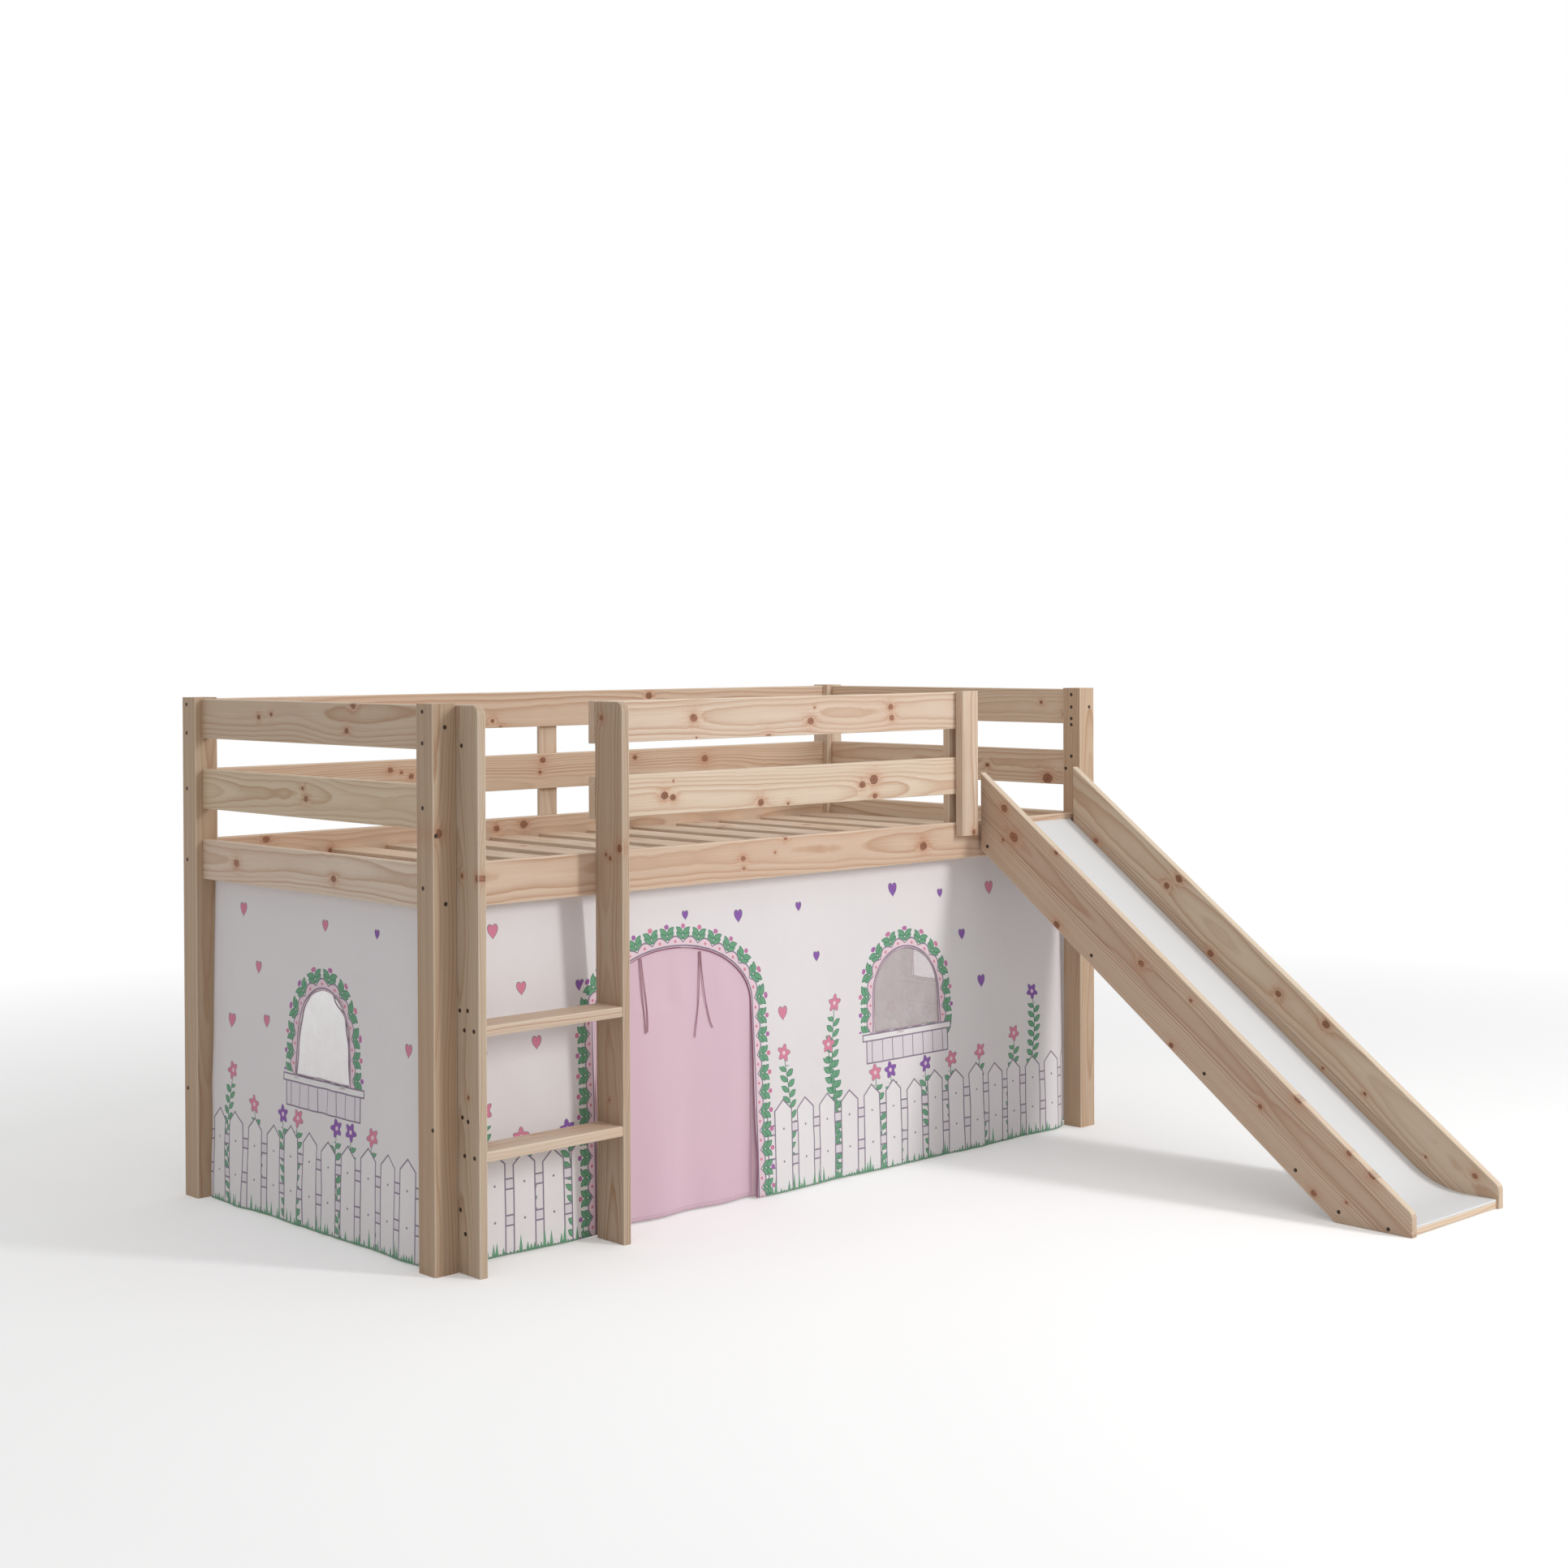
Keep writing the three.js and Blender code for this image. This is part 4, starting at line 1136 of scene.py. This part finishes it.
def cloth_piece(
    name, cut, place, materials, slot, replaced, openings=(), rides=True, thickness=cloth_thickness
):
    """A cut sheet hung in place. Its UV map is the flat cloth in metres, from its left edge and its hem.
    Its trim attribute has the distance along and off the nearest arch, and from the right edge. Its sill
    attribute has the place from the window's middle and sill, and the distance from the nearest hem."""
    flat, cells = cut
    sheet = made(name, place(flat[:, 0], flat[:, 1]), cells, materials, slot, replaced, rides)
    mesh = sheet.data
    corner, far = flat.min(0), flat.max(0)
    loops = np.empty(len(mesh.loops), int)
    mesh.loops.foreach_get("vertex_index", loops)
    layer = mesh.uv_layers.new(name="cloth")
    layer.data.foreach_set("uv", (flat - corner)[loops].ravel())
    trim = np.column_stack([np.zeros(len(flat)), np.ones(len(flat)), far[0] - flat[:, 0]])
    for opening in openings:
        _, gap, along = nearest_on(arch_path(opening), flat)
        nearer = gap < trim[:, 1]
        trim[nearer, :2] = np.column_stack([along, gap])[nearer]
    window = (openings[-1].middle, openings[-1].base) if openings else (0, 0)
    from_edge = np.min([flat[:, 0] - corner[0], far[0] - flat[:, 0], flat[:, 1] - corner[1]], axis=0)
    for layer_name, vectors in (("trim", trim), ("sill", np.column_stack([flat - window, from_edge]))):
        layer = mesh.attributes.new(layer_name, "FLOAT_VECTOR", "POINT")
        layer.data.foreach_set("vector", vectors.ravel())
    areas = np.empty(len(mesh.polygons))
    mesh.polygons.foreach_get("area", areas)
    wall = sheet.modifiers.new("thickness", "SOLIDIFY")
    wall.thickness = thickness
    wall.offset = 0
    wall.material_offset = len(materials) - 1
    return sheet, float(areas.sum())


def hung_size(place, left, right, hem, top):
    """The flat width and height of a hung sheet: the lengths of its hem and of its middle."""
    steps = np.linspace(0, 1, measure_steps)
    hem_line = place(left + (right - left) * steps, np.full(measure_steps, hem))
    middle_line = place(np.full(measure_steps, (left + right) / 2), hem + (top - hem) * steps)
    lines = (hem_line, middle_line)
    return tuple(float(np.linalg.norm(np.diff(line, axis=0), axis=1).sum()) for line in lines)


print_faces = [printed_cotton("printed_cotton", 0.0), printed_cotton("printed_cotton_reverse", 0.72)]
front_across = even_cells(front_low.x, *sides_of(doorway), *sides_of(front_window), front_high.x)
front_up = even_cells(front_low.z, front_window.base, lean_height, front_high.z)
front_cuts = [(doorway, 0.0, below_hem), (front_window, 0.0, 0.0)]
front_cloth, front_area = cloth_piece(
    "front_curtain_cloth", cut_sheet(front_across, front_up, front_cuts, inside=False), front_place,
    print_faces, "printed_cotton", ["front_curtain"], [doorway, front_window],
)
front_size = hung_size(front_place, front_low.x, front_high.x, front_low.z, front_high.z)

end_across = even_cells(end_front_y, *sides_of(end_window), end_back_y)
end_cut = cut_sheet(end_across, front_up, [(end_window, 0.0, 0.0)], inside=False)
end_places = {"left": end_place(-1), "right": end_place(1)}
for side, place in end_places.items():
    end_cloth, end_area = cloth_piece(
        side + "_end_curtain_cloth", end_cut, place, print_faces, "printed_cotton",
        [side + "_end_curtain"], [end_window],
    )
    end_size = hung_size(place, end_front_y, end_back_y, front_low.z, front_high.z)


# Bindings
# Each opening's raw edge is bound with a narrow folded strip of cotton, stitched down: dark pink round the
# doorway and mauve round the windows.
binding_radius = 0.0014
binding_around = 8
binding_step = 0.007


def folded_cotton(name, light, dark):
    """Folded cotton whose colour and surface are broken by its threads."""
    finish = Finish(name)
    weave = finish.noise(finish.place(), 700.0)
    colour = finish.blend(weave, light, dark)
    bump = finish.bump(0.4, 0.0003, weave)
    return finish.surface(colour, woven_roughness, {"Normal": bump})


def even_points(path, step):
    """Points at even steps along a path."""
    along = np.concatenate([[0], np.cumsum(np.linalg.norm(np.diff(path, axis=0), axis=1))])
    stops = np.linspace(0, along[-1], round(along[-1] / step) + 1)
    return np.column_stack([np.interp(stops, along, path[:, axis]) for axis in (0, 1)])


def add_binding(name, path, place, facing_way, material, slot):
    """A small circle, square to the cloth's edge, carried along it. A path that ends where it starts gives
    a closed ring."""
    closed = np.allclose(path[0], path[-1])
    path = even_points(path, binding_step)
    points = place(path[:, 0], path[:, 1])
    if closed:
        points = points[:-1]
        tangent = np.roll(points, -1, 0) - np.roll(points, 1, 0)
    else:
        tangent = np.gradient(points, axis=0)
    tangent /= np.linalg.norm(tangent, axis=1, keepdims=True)
    aside = np.cross(tangent, facing_way)
    angle = np.linspace(0, 2 * math.pi, binding_around, endpoint=False)[:, None]
    circle = np.cos(angle) * aside[:, None] + np.sin(angle) * np.array(facing_way)
    faces = tube_faces(len(points), binding_around)
    if closed:
        spots = np.arange(binding_around)
        beside = (spots + 1) % binding_around
        last = (len(points) - 1) * binding_around
        faces = [*faces[1:-1], *np.column_stack([last + spots, last + beside, beside, spots]).tolist()]
    tube = (points[:, None] + binding_radius * circle).reshape(-1, 3)
    made(name, tube, faces, [material], slot)


doorway_edge = arch_path(doorway, foot=-front_low.z)
doorway_cotton = folded_cotton("doorway_binding", (0.36, 0.14, 0.21), (0.24, 0.08, 0.13))
window_cotton = folded_cotton("window_binding", (0.42, 0.31, 0.38), (0.3, 0.22, 0.28))
add_binding("doorway_binding", doorway_edge, front_place, (0, -1, 0), doorway_cotton, "pink_cotton")
bound_windows = {
    "front": (front_window, front_place, (0, -1, 0)),
    "left": (end_window, end_places["left"], (-1, 0, 0)),
    "right": (end_window, end_places["right"], (1, 0, 0)),
}
for side, (window, place, outward) in bound_windows.items():
    edge = looped(arch_path(window))
    add_binding(side + "_window_binding", edge, place, outward, window_cotton, "printed_cotton")


# Window panes
# A clear soft sheet is sewn behind each window, lapping the cloth all round. It is a little cloudy and
# holds the creases that it was packed with.
pane_lap = 0.01
pane_thickness = 0.0006
pane_standoff = 0.0018
pane_crease = 0.0005
pane_crease_count = 8


def clear_sheet():
    """Soft clear sheet: mostly see-through, with a cloudy film that a broken sheen runs over."""
    finish = Finish("clear_sheet")
    place = finish.place()
    ripple = finish.noise(place, 22.0, detail=3.0)
    colour = finish.blend(ripple, (0.7, 0.61, 0.63), (0.86, 0.78, 0.8))
    bump = finish.bump(0.6, 0.006, ripple)
    return finish.surface(colour, 0.1 + ripple * 0.14, {"Alpha": 0.2 + ripple * 0.16, "Normal": bump})


film = clear_sheet()


def add_pane(name, window, place, inward, seed):
    """A sheet a little larger than its window, held behind the cloth."""

    def behind(across, up):
        gap = pane_standoff + creases(across, up, seed, pane_crease_count, pane_crease)
        return place(across, up) + gap[:, None] * np.array(inward)

    left, right = sides_of(window, pane_lap)
    up = even_cells(window.base - pane_lap, window.crown + pane_lap)
    pane, area = cloth_piece(
        name + "_sheet", cut_sheet(even_cells(left, right), up, [(window, pane_lap, pane_lap)], inside=True),
        behind, [film], "clear_sheet", [name], thickness=pane_thickness,
    )


add_pane("front_window_pane", front_window, front_place, (0, 1, 0), 21)
add_pane("left_window_pane", end_window, end_places["left"], (1, 0, 0), 22)
add_pane("right_window_pane", end_window, end_places["right"], (-1, 0, 0), 23)


# Door
# Pink cotton closes the doorway from behind. Its arched head is sewn to the front curtain, and below the
# springing line it hangs free, so that it can be lifted. Its side edges curl forward to the curtain.
door_lap = 0.008
door_hem = 0.004
door_standoff = 0.0023
door_hinge_y = 0.15083
door_fold_depth = 0.005
door_fold_count = 2.5
door_curl = 0.02
door_shape = doorway._replace(foot=doorway.spring)
door_left, door_right = sides_of(door_shape, door_lap)
door_reach = doorway.spring / 2 + door_lap
door_top = doorway.crown + door_lap


def pink_cotton():
    """Plain-woven dusty pink cotton: fine thread waves and a soft rumple as bump, a tone that deepens in
    soft upright bands, and rows of stitches along the sides and the hem."""
    finish = Finish("pink_cotton")
    across, up, _ = finish.parts(finish.node("UVMap", uv_map="cloth"))
    upright = finish.joined(across * 9, up * 1.6)
    colour = finish.blend(finish.noise(upright, 1.0, detail=3.0), (0.77, 0.56, 0.635), (0.66, 0.465, 0.55))
    from_side = across.least(2 * door_reach - across)
    seams = (0.0006 - abs(from_side.least(up) - 0.009)).filled()
    colour = finish.blend(seams * stitches(across, up, 0.0044) * 0.7, colour, (0.4, 0.2, 0.27))
    flat_place = finish.joined(across, up)
    weave = finish.threads(flat_place, 900.0) + finish.threads(flat_place, 900.0, "Y")
    rumple = finish.noise(finish.joined(across, up * 0.5), 34.0, detail=4.0)
    bump = finish.bump(0.35, 0.0014, weave * 0.03 + rumple - seams * 0.4)
    return finish.surface(colour, woven_roughness, {"Normal": bump, "Sheen Weight": cotton_sheen})


def door_place(x, z):
    """The head follows the curtain. The flap hangs straight, with a wave that grows to its hem, and in a
    narrow border its edges go forward to the curtain as the square of the way in."""
    aside = x - doorway.middle
    wave = np.sin(door_fold_count * math.pi * aside / door_reach)
    flap = door_hinge_y + door_fold_depth * (1 - z / doorway.bend) * wave
    behind = front_place(x, z)[:, 1] + door_standoff
    into_border = np.clip((abs(aside) - door_reach + door_curl) / door_curl, 0, 1) ** 2
    flap += (behind - flap) * into_border
    return np.column_stack([x, np.where(z > doorway.bend, behind, flap), z])


door_across = even_cells(door_left, door_left + door_curl, door_right - door_curl, door_right)
door_up = even_cells(door_hem, doorway.bend, door_top)
door_cloth, door_area = cloth_piece(
    "door_cloth", cut_sheet(door_across, door_up, [(door_shape, door_lap, below_hem)], inside=True),
    door_place, [pink_cotton()], "pink_cotton", ["door_head", "door_flap"], rides=False,
)
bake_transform(door_cloth)
door_size = hung_size(door_place, door_left, door_right, door_hem, door_top)
